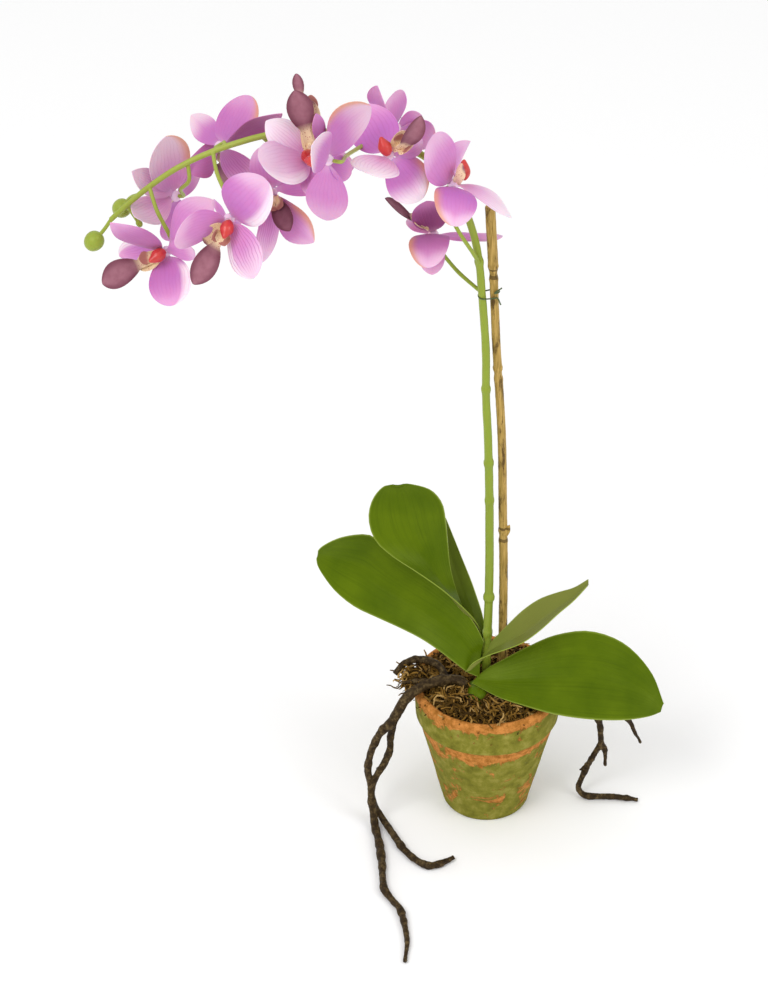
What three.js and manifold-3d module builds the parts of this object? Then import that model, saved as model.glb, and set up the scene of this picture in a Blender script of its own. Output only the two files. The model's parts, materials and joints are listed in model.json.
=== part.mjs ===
// A potted moth orchid: a terracotta pot packed with moss, five strap leaves, aerial roots that
// trail over the rim, and a tall stem tied to a bamboo stake that arches over under eleven blooms.
// Millimetres, +Z up. The pot stands on z = 0 at the origin, and the spray reaches towards -X.
import * as THREE from "three";
import { mergeVertices } from "three/addons/utils/BufferGeometryUtils.js";
import Module from "manifold-3d";

const wasm = await Module();
wasm.setup();

// ---- Driving dimensions ----

const clearance = 0.4; // between pieces that touch
const pot = {
  height: 89,
  rimRadius: 45,
  bandHeight: 23,
  bandFootRadius: 43.3,
  shoulderRadius: 41.8,
  baseRadius: 26.3,
  wall: 5,
  sides: 28,
};
const moss = { level: 88, crest: 93, thickness: 10, strands: 25, strandRadius: 0.8, sides: 20 };
const stemRadius = { foot: 2.7, tip: 1.5 };
const pedicelRadius = 1.15;
const pedicelApproach = 4; // straight end of a stalk behind its bloom
const stake = { radius: 2.7, taper: 0.1 };
const crown = { at: [-5, -10.5], radius: 7, bottom: 86, top: 95.4 };
const tie = { height: 369, radius: 0.5, caneReach: 3.9, stemReach: 3.4 };
const holeMargin = clearance + 0.2; // round the stem and the stake in moss and filler
const petalThickness = 0.7;
const leafThickness = 1.1;

const v = (x, y, z) => new THREE.Vector3(x, y, z);
const radians = THREE.MathUtils.degToRad;

// ---- Closed surfaces as solids ----

function solidFrom(points, faces) {
  const vertProperties = new Float32Array(points.flatMap((p) => p.toArray()));
  const triVerts = new Uint32Array(faces.flat());
  return new wasm.Manifold(new wasm.Mesh({ numProp: 3, vertProperties, triVerts }));
}

function solidOf(geometry) {
  geometry.deleteAttribute("normal");
  geometry.deleteAttribute("uv");
  const merged = mergeVertices(geometry, 1e-4);
  const vertProperties = new Float32Array(merged.attributes.position.array);
  const triVerts = new Uint32Array(merged.index.array);
  return new wasm.Manifold(new wasm.Mesh({ numProp: 3, vertProperties, triVerts }));
}

// A solid turned about Z from [radius, height] rows that start and end on the axis.
function turned(profile, sides) {
  const outline = profile.map(([radius, height]) => new THREE.Vector2(radius, height));
  return solidOf(new THREE.LatheGeometry(outline, sides).rotateX(Math.PI / 2));
}

function fuse(solids) {
  return solids.reduce((whole, next) => whole.add(next));
}

// The largest body of a cut solid, without the loose scraps.
function mainBody(solid) {
  return solid.decompose().reduce((a, b) => (a.volume() > b.volume() ? a : b));
}

function middleOf(ring) {
  return ring.reduce((sum, p) => sum.add(p), v(0, 0, 0)).divideScalar(ring.length);
}

// Joins rings of equally many points, with a fan over each end.
function loft(rings) {
  const sides = rings[0].length;
  const points = [...rings.flat(), middleOf(rings[0]), middleOf(rings.at(-1))];
  const firstCentre = points.length - 2;
  const lastCentre = points.length - 1;
  const lastRing = (rings.length - 1) * sides;
  const faces = [];
  for (let j = 0; j < sides; j++) {
    const next = (j + 1) % sides;
    for (let i = 0; i < lastRing; i += sides) {
      faces.push([i + j, i + next, i + next + sides]);
      faces.push([i + j, i + next + sides, i + j + sides]);
    }
    faces.push([firstCentre, next, j], [lastCentre, lastRing + j, lastRing + next]);
  }
  return solidFrom(points, faces);
}

// A round bar through [x, y, z, radius] rows, smooth along its length.
function bar(rows, sides, stepsPerSpan = 2) {
  const centres = rows.map(([x, y, z]) => v(x, y, z));
  const curve = new THREE.CatmullRomCurve3(centres, false, "centripetal");
  const spans = rows.length - 1;
  const count = spans * stepsPerSpan;
  const rings = [];
  let across = null;
  for (let i = 0; i <= count; i++) {
    const u = i / count;
    const tangent = curve.getTangent(u);
    const seed = across ?? (Math.abs(tangent.z) > 0.9 ? v(1, 0, 0) : v(0, 0, 1));
    across = seed.clone().addScaledVector(tangent, -seed.dot(tangent)).normalize();
    const span = Math.min(Math.floor(u * spans), spans - 1);
    const radius = THREE.MathUtils.lerp(rows[span][3], rows[span + 1][3], u * spans - span);
    rings.push(ringAt(curve.getPoint(u), across, tangent.cross(across), radius, sides));
  }
  return loft(rings);
}

// The same rows, with the first moved back by a distance.
function extended([first, second, ...rest], distance) {
  const back = v(...first.slice(0, 3)).sub(v(...second.slice(0, 3))).setLength(distance);
  const [x, y, z, radius] = first;
  return [[x + back.x, y + back.y, z + back.z, radius], second, ...rest];
}

function ringAt(centre, across, around, radius, sides) {
  return Array.from({ length: sides }, (_, j) => {
    const turn = (2 * Math.PI * j) / sides;
    return centre
      .clone()
      .addScaledVector(across, radius * Math.cos(turn))
      .addScaledVector(around, radius * Math.sin(turn));
  });
}

// A thin closed blade. middle(t, s) is its middle surface: t runs from root 0 to tip 1 and s
// across from -1 to 1. Both faces are split along the same diagonals, so they never cross.
function blade(middle, along, across, thickness) {
  const grid = along.map((t) => across.map((s) => middle(t, s)));
  const columns = across.length;
  const lastRow = along.length - 1;
  const lastColumn = columns - 1;
  const top = [];
  const bottom = [];
  grid.forEach((row, i) =>
    row.forEach((point, j) => {
      const lengthwise = grid[Math.min(i + 1, lastRow)][j].clone().sub(grid[Math.max(i - 1, 0)][j]);
      const sideways = row[Math.min(j + 1, lastColumn)].clone().sub(row[Math.max(j - 1, 0)]);
      const half = lengthwise.cross(sideways).setLength(thickness / 2);
      top.push(point.clone().add(half));
      bottom.push(point.clone().sub(half));
    }),
  );
  const under = top.length;
  const faces = [];
  for (let i = 0; i < lastRow; i++)
    for (let j = 0; j < lastColumn; j++) {
      const a = i * columns + j;
      const b = a + columns;
      const c = b + 1;
      const d = a + 1;
      faces.push([a, b, c], [a, c, d], [a + under, c + under, b + under]);
      faces.push([a + under, d + under, c + under]);
    }
  const rim = outlineOf(lastRow, columns);
  rim.forEach((p, k) => {
    const q = rim[(k + 1) % rim.length];
    faces.push([p + under, q + under, q], [p + under, q, p]);
  });
  return solidFrom([...top, ...bottom], faces);
}

// The indices round the edge of a grid of points.
function outlineOf(lastRow, columns) {
  const rim = [];
  for (let i = 0; i < lastRow; i++) rim.push(i * columns);
  for (let j = 0; j < columns - 1; j++) rim.push(lastRow * columns + j);
  for (let i = lastRow; i > 0; i--) rim.push(i * columns + columns - 1);
  for (let j = columns - 1; j > 0; j--) rim.push(j);
  return rim;
}

// ---- The scene graph ----

const orchid = new THREE.Group();

function addNode(name, solid, color, roughness, metalness = 0) {
  const { vertProperties, triVerts } = solid.getMesh();
  const geometry = new THREE.BufferGeometry();
  geometry.setAttribute("position", new THREE.BufferAttribute(vertProperties, 3));
  geometry.setIndex(new THREE.BufferAttribute(triVerts, 1));
  geometry.computeVertexNormals();
  const material = new THREE.MeshStandardMaterial({ color, roughness, metalness });
  const mesh = new THREE.Mesh(geometry, material);
  mesh.name = name;
  orchid.add(mesh);
}

// ---- The pot, its filler and the stake ----

// The radius of the pot's plain tapered body at a height.
function bodyRadius(height) {
  const shoulder = pot.height - pot.bandHeight;
  return THREE.MathUtils.lerp(pot.baseRadius, pot.shoulderRadius, height / shoulder);
}

const innerRimRadius = pot.rimRadius - pot.wall;
const innerBaseRadius = bodyRadius(pot.wall + 1) - pot.wall;

function makePot() {
  const shoulder = pot.height - pot.bandHeight;
  const profile = [
    [0, 0],
    [pot.baseRadius - 1.2, 0],
    [pot.baseRadius, 1.2],
    [pot.shoulderRadius, shoulder],
    [pot.bandFootRadius, shoulder + 0.6],
    [pot.rimRadius, pot.height - 1.4],
    [pot.rimRadius - 1.4, pot.height],
    [innerRimRadius + 1.2, pot.height],
    [innerRimRadius, pot.height - 1.2],
    [innerBaseRadius, pot.wall + 1],
    [0, pot.wall + 1],
  ];
  return turned(profile, pot.sides);
}

// The inside radius of the pot at a height.
function boreRadius(height) {
  const depth = (height - pot.wall - 1) / (pot.height - 2.2 - pot.wall);
  return THREE.MathUtils.lerp(innerBaseRadius, innerRimRadius, depth);
}

const mossBottom = moss.level - moss.thickness;

function makeFillerPlug(holes) {
  const top = mossBottom - clearance;
  const bottom = pot.wall + 1 + clearance;
  const profile = [
    [0, bottom],
    [boreRadius(bottom) - 2 * clearance, bottom],
    [boreRadius(top) - 2 * clearance, top],
    [0, top],
  ];
  return fuse([turned(profile, pot.sides)]).subtract(fuse(holes));
}

// Down in the filler to the cut top of the cane: [x, y, z].
const stakeRoute = [
  [10.4, 9, 30],
  [9.2, 7.7, 90],
  [8.5, 6.8, 134],
  [6.8, 4.5, 244],
  [-0.9, 1.8, 369],
  [-3.6, 0.6, 427],
];
const stakeLine = new THREE.CatmullRomCurve3(stakeRoute.map((p) => v(...p)), false, "centripetal");

// Bamboo: a cane swollen at its joints, with the leftovers of a branch at the lowest.
function makeStake() {
  const joints = [0.545, 0.722, 0.91];
  const jointReach = 0.012;
  const swelling = 0.35;
  const rowAt = (share, extra = 0) => {
    const radius = stake.radius * (1 - stake.taper * share) + extra;
    return [...stakeLine.getPointAt(share).toArray(), radius];
  };
  const rows = [0, 0.15, 0.3, 0.42].map((share) => rowAt(share));
  for (const share of joints) {
    rows.push(rowAt(share - jointReach), rowAt(share, swelling), rowAt(share + jointReach));
  }
  rows.push(rowAt(1));
  const knob = stakeLine.getPointAt(joints[0]).add(v(2.2, -1.2, 1));
  const stub = bar([[knob.x, knob.y, knob.z - 4, 0.9], [knob.x + 0.9, knob.y, knob.z + 4, 0.7]], 5, 1);
  return bar(rows, 10, 1).add(stub);
}

// ---- The stem, with its pedicels and buds ----

// Down in the filler to the tip of the arch: [x, y, z].
const stemRoute = [
  [-0.4, 0.5, 30],
  [-0.7, 0.2, 80],
  [-0.9, 0, 105],
  [-0.2, 0, 160],
  [-1.0, 0, 225],
  [-2.6, 0, 272],
  [-4.0, 0, 297],
  [-4.6, 0, 330],
  [-7.1, 0, 366],
  [-9.3, 0, 391],
  [-11.8, 0, 406],
  [-16, 0, 421],
  [-24, 0, 440],
  [-34.3, 0, 454.9],
  [-51, 0, 466.5],
  [-70, 0, 472],
  [-90, 0, 475.5],
  [-109.6, 0, 476.4],
  [-128.7, -1, 474],
  [-156, -3, 465.5],
  [-176, -5, 456],
  [-192.4, -6, 444],
  [-205, -7.5, 433],
  [-214, -9, 424.5],
];

// Moulded collars where lengths of the stem meet: [share of the route, extra radius].
const stemCollars = [
  [0.153, 0.5],
  [0.195, 0.9],
  [0.308, 0.4],
  [0.351, 0.6],
  [0.434, 0.5],
  [0.5725, 0.5],
];
const collarSteps = [[-0.006, 0], [-0.003, 1], [0.003, 1], [0.006, 0]]; // [share, part of the extra]
const collarMargin = 0.012; // no plain station stands nearer to a collar
const stemStations = 25;

function stemRows() {
  const curve = new THREE.CatmullRomCurve3(stemRoute.map((p) => v(...p)), false, "centripetal");
  const plain = Array.from({ length: stemStations }, (_, i) => [i / (stemStations - 1), 0]);
  const swollen = stemCollars.flatMap(([share, extra]) =>
    collarSteps.map(([step, part]) => [share + step, extra * part]),
  );
  const clear = ([share]) => stemCollars.every(([at]) => Math.abs(share - at) > collarMargin);
  const stations = [...plain.filter(clear), ...swollen].sort((a, b) => a[0] - b[0]);
  return stations.map(([share, extra]) => {
    const radius = THREE.MathUtils.lerp(stemRadius.foot, stemRadius.tip, share ** 1.6);
    return [...curve.getPointAt(share).toArray(), radius + extra];
  });
}

// Each bud: where its stalk leaves the stem, a bend of the stalk, the bud's centre and size.
const buds = [
  { from: [-213.5, -8.9, 425], bend: [-218, -11, 419], at: [-223.5, -13, 413], size: [5.6, 12] },
  { from: [-198, -6.6, 439.5], bend: [-203, -1, 434], at: [-208.5, 2, 425], size: [5.4, 11.5] },
  { from: [-205, -7.5, 433], bend: [-202, -6, 427], at: [-198.5, -5, 419.5], size: [1.9, 5] },
];

function makeBud({ from, bend, at, size: [radius, length] }) {
  const stalk = bar([[...from, 1.2], [...bend, 1.1], [...at, 1.2]], 6, 1);
  const axis = v(...at).sub(v(...bend)).normalize();
  const shape = [[-0.5, 0.3], [-0.4, 0.72], [-0.2, 0.96], [0.1, 1], [0.35, 0.72], [0.5, 0.25]];
  const stations = shape.map(([share, part]) => [share * length, radius * part]);
  return stalk.add(spindle(v(...at), axis, stations, 8));
}

// ---- Blooms ----
// at: the hub. facing: [turn to the right, rise] of the way the bloom looks, seen from -Y.
// roll: clockwise turn of its dorsal sepal from upright.
// tepals: dorsal sepal, right petal, right sepal, left sepal and left petal, each as
// [clockwise angle, forward tilt, length, width, twist, bow, outline].
// lip: lobes as [angle, tilt, length, width, share that is a narrow neck, twist, bow].
// column: [angle, tilt, shift to its side, size]. stalk: points from the stem towards the hub's back.
const sideLobes = [
  [130, 62, 11, 7, 0.3, 0, -0.06],
  [-130, 62, 11, 7, 0.3, 0, -0.06],
];

// Petal outlines as [fullness, skew]: fuller below 1, and widest nearer the tip above 1.
const outlines = {
  round: [0.5, 1],
  oval: [0.62, 1.15],
  pointed: [0.95, 0.9],
  leaf: [0.8, 1.2],
};

const blooms = {
  a: {
    at: [-183, -28, 416],
    facing: [-47, 19],
    roll: 13,
    tepals: [
      [8, -18, 40, 26, -4, 0.14, "leaf"],
      [51, 12, 31, 14, 30, 0, "leaf"],
      [124, 14, 32, 25, -30, 0.05, "round"],
      [-131, 4, 36, 20, -42, -0.05, "round"],
      [-48, 62, 41.5, 24, -1, 0.04, "pointed"],
    ],
    lip: [[-154, 33, 35, 15.5, 0.3, 0, 0.05], sideLobes[1]],
    column: [164, 62, 2.7, 1],
    stalk: [[-191.8, -6.5, 443.5], [-188, -15, 435], [-181, -22, 423]],
  },
  b: {
    at: [-147, -42, 446],
    facing: [-11, -6],
    roll: 29,
    tepals: [
      [8, 3, 38, 30, -22, 0.2, "round"],
      [120, -50, 28, 14, 0, 0.05, "leaf"],
      [106, 44, 37.5, 24, 0, 0.02, "oval"],
      [-108, 52, 39.5, 22.5, 8, -0.06, "oval"],
      [-125, -50, 20, 12, 0, 0.05, "leaf"],
    ],
    lip: [[184, 52, 36, 14, 0.3, 0, 0.05], ...sideLobes],
    column: [168, 70, 0, 1],
    stalk: [[-156.6, -3, 465], [-154, -18, 461], [-149, -30, 455]],
  },
  c: {
    at: [-179, 10, 428],
    facing: [-135, -25],
    roll: 40,
    tepals: [
      [5, -4, 35, 15, 0, 0.07, "pointed"],
      [48, -7, 33, 20, 40, 0.13, "oval"],
      [144, 36, 34, 20, 0, 0.07, "oval"],
      [-122, 22, 34.5, 15, 18, 0.05, "round"],
      [-36, -21, 39, 28, -8, 0.03, "round"],
    ],
    lip: [[-165, 66, 31, 14, 0.3, 0, -0.06], ...sideLobes],
    column: [0, 75, 0, 1],
    stalk: [[-170.5, -4, 458], [-170, -7, 449], [-175, -2, 440]],
  },
  d: {
    at: [-153, 8, 461.5],
    facing: [162, -26],
    roll: -1,
    tepals: [
      [-14, 35, 36, 21.5, -5, 0.08, "round"],
      [64, 30, 32, 14.5, 10, 0.1, "leaf"],
      [125, 30, 36.5, 20, 30, 0.2, "pointed"],
      [-142, 40, 34, 17, -3, 0.03, "oval"],
      [-53, 2, 40, 18, 64, 0.03, "leaf"],
    ],
    lip: [[178, 48, 33, 14, 0.3, 0, -0.06], ...sideLobes],
    column: [180, 84, 0, 1],
    stalk: [[-150, -1.4, 468], [-150.5, 2, 468], [-151.5, 4, 466]],
  },
  e: {
    at: [-102, -20, 471],
    facing: [-1, 60],
    roll: 168,
    tepals: [
      [0, 5, 26, 18, 0, 0.07, "oval"],
      [72, 34, 37, 29.5, 0, 0.03, "round"],
      [134, 26, 33, 18, -10, 0.08, "leaf"],
      [-125, -22, 20, 13, 0, 0.07, "oval"],
      [-74, -15, 24, 16, 0, 0.07, "oval"],
    ],
    lip: [
      [173, 38, 34, 14.5, 0.35, 0, 0.05],
      [181, 6, 46, 6.5, 0.72, 0, -0.03],
      [-168, 28, 30, 8, 0.6, 0, -0.06],
    ],
    column: [84, 70, 0.8, 1],
    stalk: [[-108.6, -1, 476], [-106, -8, 473], [-103, -13, 469]],
  },
  m: {
    at: [-93, -50, 489],
    facing: [-114, -4],
    roll: -149,
    tepals: [
      [-27, 8, 41, 23, 75, -0.03, "round"],
      [82, -16, 40.5, 26.5, -12, 0.18, "oval"],
      [133, -30, 33, 18, 0, 0.07, "oval"],
      [-164, -6, 35, 23, -7, -0.02, "oval"],
      [8, -26, 20, 14, 0, 0.05, "oval"],
    ],
    lip: [[120, 14, 16, 6, 0.3, 0, -0.06]],
    column: [0, 75, 0, 1],
    stalk: [[-73, -1, 472], [-77.5, -13, 466], [-82, -38, 486]],
  },
  f: {
    at: [-124, -12, 445],
    facing: [1, 18],
    roll: -19,
    tepals: [
      [15, 28, 34, 22, 0, 0.05, "round"],
      [86, -6, 33, 20, 0, 0.07, "oval"],
      [157, 25, 37.5, 24, 34, 0.15, "leaf"],
      [-152, 4, 40.5, 19, -48, 0.06, "oval"],
      [-74, -30, 30, 18, 0, 0.07, "oval"],
    ],
    lip: [[166, 53, 21, 10, 0.25, 0, 0], ...sideLobes],
    column: [-90, 40, 0, 1],
    stalk: [[-129.6, 0, 473], [-118, 6, 455], [-121, 2, 447]],
  },
  g: {
    at: [-60, -18, 472],
    facing: [36, 50],
    roll: -103,
    tepals: [
      [-3, 31, 33.5, 27, 30, 0, "round"],
      [107, -12, 34, 27, -26, -0.1, "round"],
      [131, -14, 22, 14, 0, 0.07, "oval"],
      [-170, 5, 23, 14, 0, 0.07, "oval"],
      [-99, -18, 31.5, 26, 15, 0.05, "round"],
    ],
    lip: [[151, 74, 31, 11, 0.3, 19, 0.15], ...sideLobes],
    column: [86, 32, 0, 1],
    stalk: [[-51, -0.5, 466.4], [-55, -5, 461.5], [-60, -11, 462.5]],
  },
  h: {
    at: [-56, 26, 463],
    facing: [145, 3],
    roll: -5,
    tepals: [
      [7, -21, 37.5, 18, -21, -0.1, "leaf"],
      [83, 50, 28, 22, 29, 0.05, "round"],
      [133, 12, 35, 20, 0, 0.07, "oval"],
      [-130, 36, 28, 24, -20, 0.15, "pointed"],
      [-60, 20, 20, 12, 0, 0.07, "oval"],
    ],
    lip: [[158, 45, 31, 13, 0.3, 0, -0.06], [-130, 62, 11, 7, 0.3, 0, -0.06]],
    column: [180, 78, -0.6, 0.3],
    stalk: [[-59.3, 1, 469], [-58, 10, 468], [-57, 17, 465]],
  },
  i: {
    at: [-24, -12, 450],
    facing: [70, 44],
    roll: 129,
    tepals: [
      [-156, 14, 31, 14, 0, -0.05, "oval"],
      [38, 11, 38, 18, -14, 0.12, "pointed"],
      [123, 10, 37, 24, 31, 0.2, "round"],
      [-148, 27, 37, 29, 28, 0.03, "round"],
      [-47, -2, 40, 17, 38, -0.12, "pointed"],
    ],
    lip: [[-172, 66, 11, 7, 0.3, 0, -0.06]],
    column: [-90, 28, 0, 1],
    stalk: [[-9, -1.5, 391], [-13, -8, 402], [-24, -12, 425]],
  },
  j: {
    at: [-35, 10, 403],
    facing: [-128, 83],
    roll: -41,
    tepals: [
      [-4, -10, 39.5, 13.5, -4, 0, "oval"],
      [98, 0, 40, 22.5, -2, 0.2, "round"],
      [98, -30, 26, 14, 0, 0.07, "oval"],
      [-133, 12, 35, 20, 0, 0.07, "oval"],
      [62, 70, 27, 17, 0, 0.05, "round"],
    ],
    lip: [[224, 38, 30, 9, 0.3, 0, -0.06]],
    column: [-80, 50, -2, 1],
    stalk: [[-9.5, 1, 371.5], [-21, 5, 381], [-31, 6, 394]],
  },
};

// The directions of a bloom: up to its dorsal sepal, to its right seen from in front, and front.
function bloomFrame({ facing: [turn, rise], roll }) {
  const front = v(
    Math.sin(radians(turn)) * Math.cos(radians(rise)),
    -Math.cos(radians(turn)) * Math.cos(radians(rise)),
    Math.sin(radians(rise)),
  );
  const upright = v(0, 0, 1).addScaledVector(front, -front.z).normalize();
  const right = upright.clone().cross(front);
  const up = upright
    .multiplyScalar(Math.cos(radians(roll)))
    .addScaledVector(right, Math.sin(radians(roll)));
  return { up, front, side: up.clone().cross(front) };
}

// The direction at a clockwise angle and forward tilt, the way its front face looks, and across.
// A twist turns the face about that direction.
function petalAxes({ up, side, front }, angle, tilt, twist = 0) {
  const outward = up
    .clone()
    .multiplyScalar(Math.cos(radians(angle)))
    .addScaledVector(side, Math.sin(radians(angle)));
  const level = Math.cos(radians(tilt));
  const forward = Math.sin(radians(tilt));
  const along = outward.clone().multiplyScalar(level).addScaledVector(front, forward);
  const face = front.clone().multiplyScalar(level).addScaledVector(outward, -forward);
  face.applyAxisAngle(along, radians(twist));
  return { along, face, across: face.clone().cross(along) };
}

// Half the width of a petal at t: its claw first, then a swell set by its outline.
function petalHalfWidth(t, { width, neck, claw, outline }) {
  const [fullness, skew] = outlines[outline];
  const past = THREE.MathUtils.clamp((t - neck) / (1 - neck), 0, 1);
  const swell = Math.max(Math.sin(Math.PI * past ** skew), 0) ** fullness;
  return claw + (width / 2 - claw) * swell;
}

// bow: how far the petal arches towards its face, in lengths. cup: the same across, in half widths.
function petal(root, axes, form) {
  const { length, bow, cup, rows, columns } = form;
  const middle = (t, s) => {
    const half = petalHalfWidth(t, form);
    const lift = bow * length * Math.sin(Math.PI * t) + cup * half * s * s;
    return root
      .clone()
      .addScaledVector(axes.along, t * length)
      .addScaledVector(axes.face, lift)
      .addScaledVector(axes.across, s * half);
  };
  return blade(middle, rows, columns, petalThickness);
}

const tepalForm = {
  rows: [0, 0.2, 0.46, 0.77, 0.94, 1],
  columns: [-1, 0, 1],
  neck: 0.06,
  claw: 1.3,
  cup: -0.12,
};
const spoonForm = {
  rows: [0, 0.35, 0.6, 0.88, 1],
  columns: [-1, 0, 1],
  claw: 2.4,
  cup: 0.3,
  outline: "oval",
};
const sideLobeForm = { ...spoonForm, columns: [-1, 1], claw: 1.3 };

// Distances along a bloom's front axis from the middle of its hub.
const hub = { back: -3.2, waist: -0.8, front: 1.6, sepals: -0.9, petals: 0.7 };
const throat = { front: hub.front + clearance + 2.2, up: -3, tilt: 66 };
const columnFoot = { front: hub.front + clearance + 2.4, up: 2.8 };
const rootInset = 2; // of the tepals from the axis
const lobeInset = 1.5; // of the lobes from the throat

// A round body along an axis, from [step, radius] stations.
function spindle(start, along, stations, sides) {
  const rows = stations.map(([step, radius]) => {
    const centre = start.clone().addScaledVector(along, step);
    return [...centre.toArray(), radius];
  });
  return bar(rows, sides, 1);
}

function makeTepals(bloom) {
  const frame = bloomFrame(bloom);
  const middle = v(...bloom.at);
  const body = spindle(middle, frame.front, [[hub.back, 1.6], [hub.waist, 3.2], [hub.front, 2.4]], 7);
  const tepals = bloom.tepals.map((row, i) => {
    const [angle, tilt, length, width, twist, bow, outline] = row;
    const isPetal = i === 1 || i === 4;
    const axes = petalAxes(frame, angle, tilt, twist);
    const root = middle
      .clone()
      .addScaledVector(frame.front, isPetal ? hub.petals : hub.sepals)
      .addScaledVector(axes.along, rootInset * Math.cos(radians(tilt)));
    return petal(root, axes, { ...tepalForm, length: length - rootInset, width, bow, outline });
  });
  return fuse([body, ...tepals]);
}

function makeLip(bloom) {
  const frame = bloomFrame(bloom);
  const start = v(...bloom.at)
    .addScaledVector(frame.front, throat.front)
    .addScaledVector(frame.up, throat.up);
  const lobes = bloom.lip.map((row, i) => {
    const [angle, tilt, length, width, neck, twist, bow] = row;
    const axes = petalAxes(frame, angle, tilt, twist);
    const root = start.clone().addScaledVector(axes.along, lobeInset);
    const form = i === 0 ? spoonForm : sideLobeForm;
    return petal(root, axes, { ...form, length: length - lobeInset, width, neck, bow });
  });
  const { along } = petalAxes(frame, 180, throat.tilt);
  return fuse([spindle(start, along, [[-1.2, 1.2], [1, 1.7], [4.5, 1.1]], 6), ...lobes]);
}

// A red teardrop that stands over the lip.
function makeColumn(bloom) {
  const frame = bloomFrame(bloom);
  const [angle, tilt, aside, size] = bloom.column;
  const foot = v(...bloom.at)
    .addScaledVector(frame.front, columnFoot.front)
    .addScaledVector(frame.up, columnFoot.up)
    .addScaledVector(frame.side, aside);
  const { along } = petalAxes(frame, angle, tilt);
  const shape = [[0, 1.4], [2.5, 3.2], [5.5, 3.8], [9, 2.2], [11.5, 0.6]];
  return spindle(foot, along, shape.map((station) => station.map((value) => value * size)), 6);
}

function makePedicel(bloom) {
  const { front } = bloomFrame(bloom);
  const end = v(...bloom.at).addScaledVector(front, hub.back - clearance);
  const approach = end.clone().addScaledVector(front, -pedicelApproach);
  const rows = [...bloom.stalk, approach.toArray(), end.toArray()].map((p) => [...p, pedicelRadius]);
  return bar(rows, 5, 1);
}

// ---- Leaves ----
// edges: points on the right and left edge as seen walking from base to tip, in pairs.
// fold: how deep the middle hangs below the line between the edges, in half widths.
const leaves = {
  front_right: {
    edges: [
      [[-10, -12.6, 97.6], [-6.5, -9.5, 99.6]],
      [[-2, -17, 95.4], [0, -5.5, 103.5]],
      [[7, -21.7, 93.3], [10, -2.3, 108.3]],
      [[21.7, -27.6, 91.9], [24, 1.6, 114.5]],
      [[39.5, -34.2, 91], [40, 4.2, 120.8]],
      [[60, -38.4, 90.7], [61, 4.4, 123.7]],
      [[81, -37.5, 89.2], [82, -0.5, 117.7]],
      [[95.5, -32.4, 87.6], [98, -11.6, 104.3]],
      [[103, -26.5, 86.2], [105, -23, 90]],
    ],
    fold: 0.16,
  },
  back_right: {
    edges: [
      [[-14, -12.5, 106], [-9, -11.5, 109]],
      [[-10, -12.5, 112.3], [-2, -8.5, 117]],
      [[-1, -14.5, 119.5], [1.5, -5, 123]],
      [[9.4, -17.5, 126.5], [10.5, 1, 130]],
      [[19.4, -18.6, 132.9], [20, 7, 136.5]],
      [[30, -15.5, 140.4], [30.7, 9.8, 143.8]],
      [[40.8, -8.1, 146.5], [41.3, 10.1, 148.9]],
      [[50.5, 0.2, 149.8], [51, 11.8, 151.3]],
      [[58.4, 9, 154], [59.5, 14, 155.6]],
    ],
    fold: 0.35,
  },
  back_left: {
    edges: [
      [[-7, -3.7, 105.4], [-10.5, -4.2, 105.4]],
      [[-6.5, 1.2, 119.6], [-15, 4.2, 119.6]],
      [[-10, 4.8, 133.4], [-26, 11.8, 134.4]],
      [[-16, 8.6, 147.8], [-38, 17.6, 147.8]],
      [[-21, 11.6, 164.8], [-52, 21.6, 163.8]],
      [[-24.5, 18.3, 181.4], [-65, 23.8, 179.4]],
      [[-28, 25, 198], [-71.5, 24, 197]],
      [[-37, 29.2, 211.6], [-72.5, 24.7, 207.6]],
      [[-52, 29.7, 216.1], [-68, 24.2, 213.1]],
    ],
    fold: 0.28,
  },
  back_middle: {
    edges: [
      [[-3.5, 1.5, 101], [-8, 1, 101]],
      [[-2.6, 8, 127], [-16, 13, 130]],
      [[-8, 17, 143.7], [-25, 24, 147]],
      [[-14, 28, 155.2], [-29.5, 34, 158.5]],
      [[-20, 40.5, 164.7], [-31.5, 43.5, 166.5]],
      [[-25.5, 50.5, 174], [-29.5, 49.5, 174]],
    ],
    fold: 0.25,
  },
  front_left: {
    edges: [
      [[-9.5, -6.8, 103.1], [-13, -9.8, 101.6]],
      [[-7, -4.9, 119.8], [-22, -8.9, 115.8]],
      [[-10, -1.6, 134.7], [-35, -6, 126.5]],
      [[-23.2, 3.5, 149.8], [-53, -3.9, 136.2]],
      [[-38.7, 9.4, 160.4], [-69.7, -1, 141.5]],
      [[-55.4, 15, 171.8], [-85.8, 3.8, 151.5]],
      [[-73.3, 20.4, 183.4], [-97.7, 9.9, 164.1]],
      [[-90, 22.5, 181.6], [-101.6, 13.7, 166.6]],
      [[-98.5, 20.7, 176.6], [-102.6, 17, 170.1]],
    ],
    fold: 0.3,
  },
};

function makeLeaf({ edges, fold }) {
  const edge = (side) => {
    const points = edges.map((pair) => v(...pair[side]));
    return new THREE.CatmullRomCurve3(points, false, "centripetal");
  };
  const right = edge(0);
  const left = edge(1);
  const middle = (t, s) => {
    const low = right.getPoint(t);
    const high = left.getPoint(t);
    const half = high.clone().sub(low).divideScalar(2);
    const tangent = right.getTangent(t).add(left.getTangent(t));
    const above = tangent.cross(half).normalize();
    const hang = fold * half.length() * (1 - Math.abs(s) ** 1.4);
    return low.add(high).divideScalar(2).addScaledVector(half, s).addScaledVector(above, -hang);
  };
  const along = [0, 0.13, 0.28, 0.46, 0.64, 0.8, 0.93, 1];
  return blade(middle, along, [-1, -0.5, 0, 0.5, 1], leafThickness);
}

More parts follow.
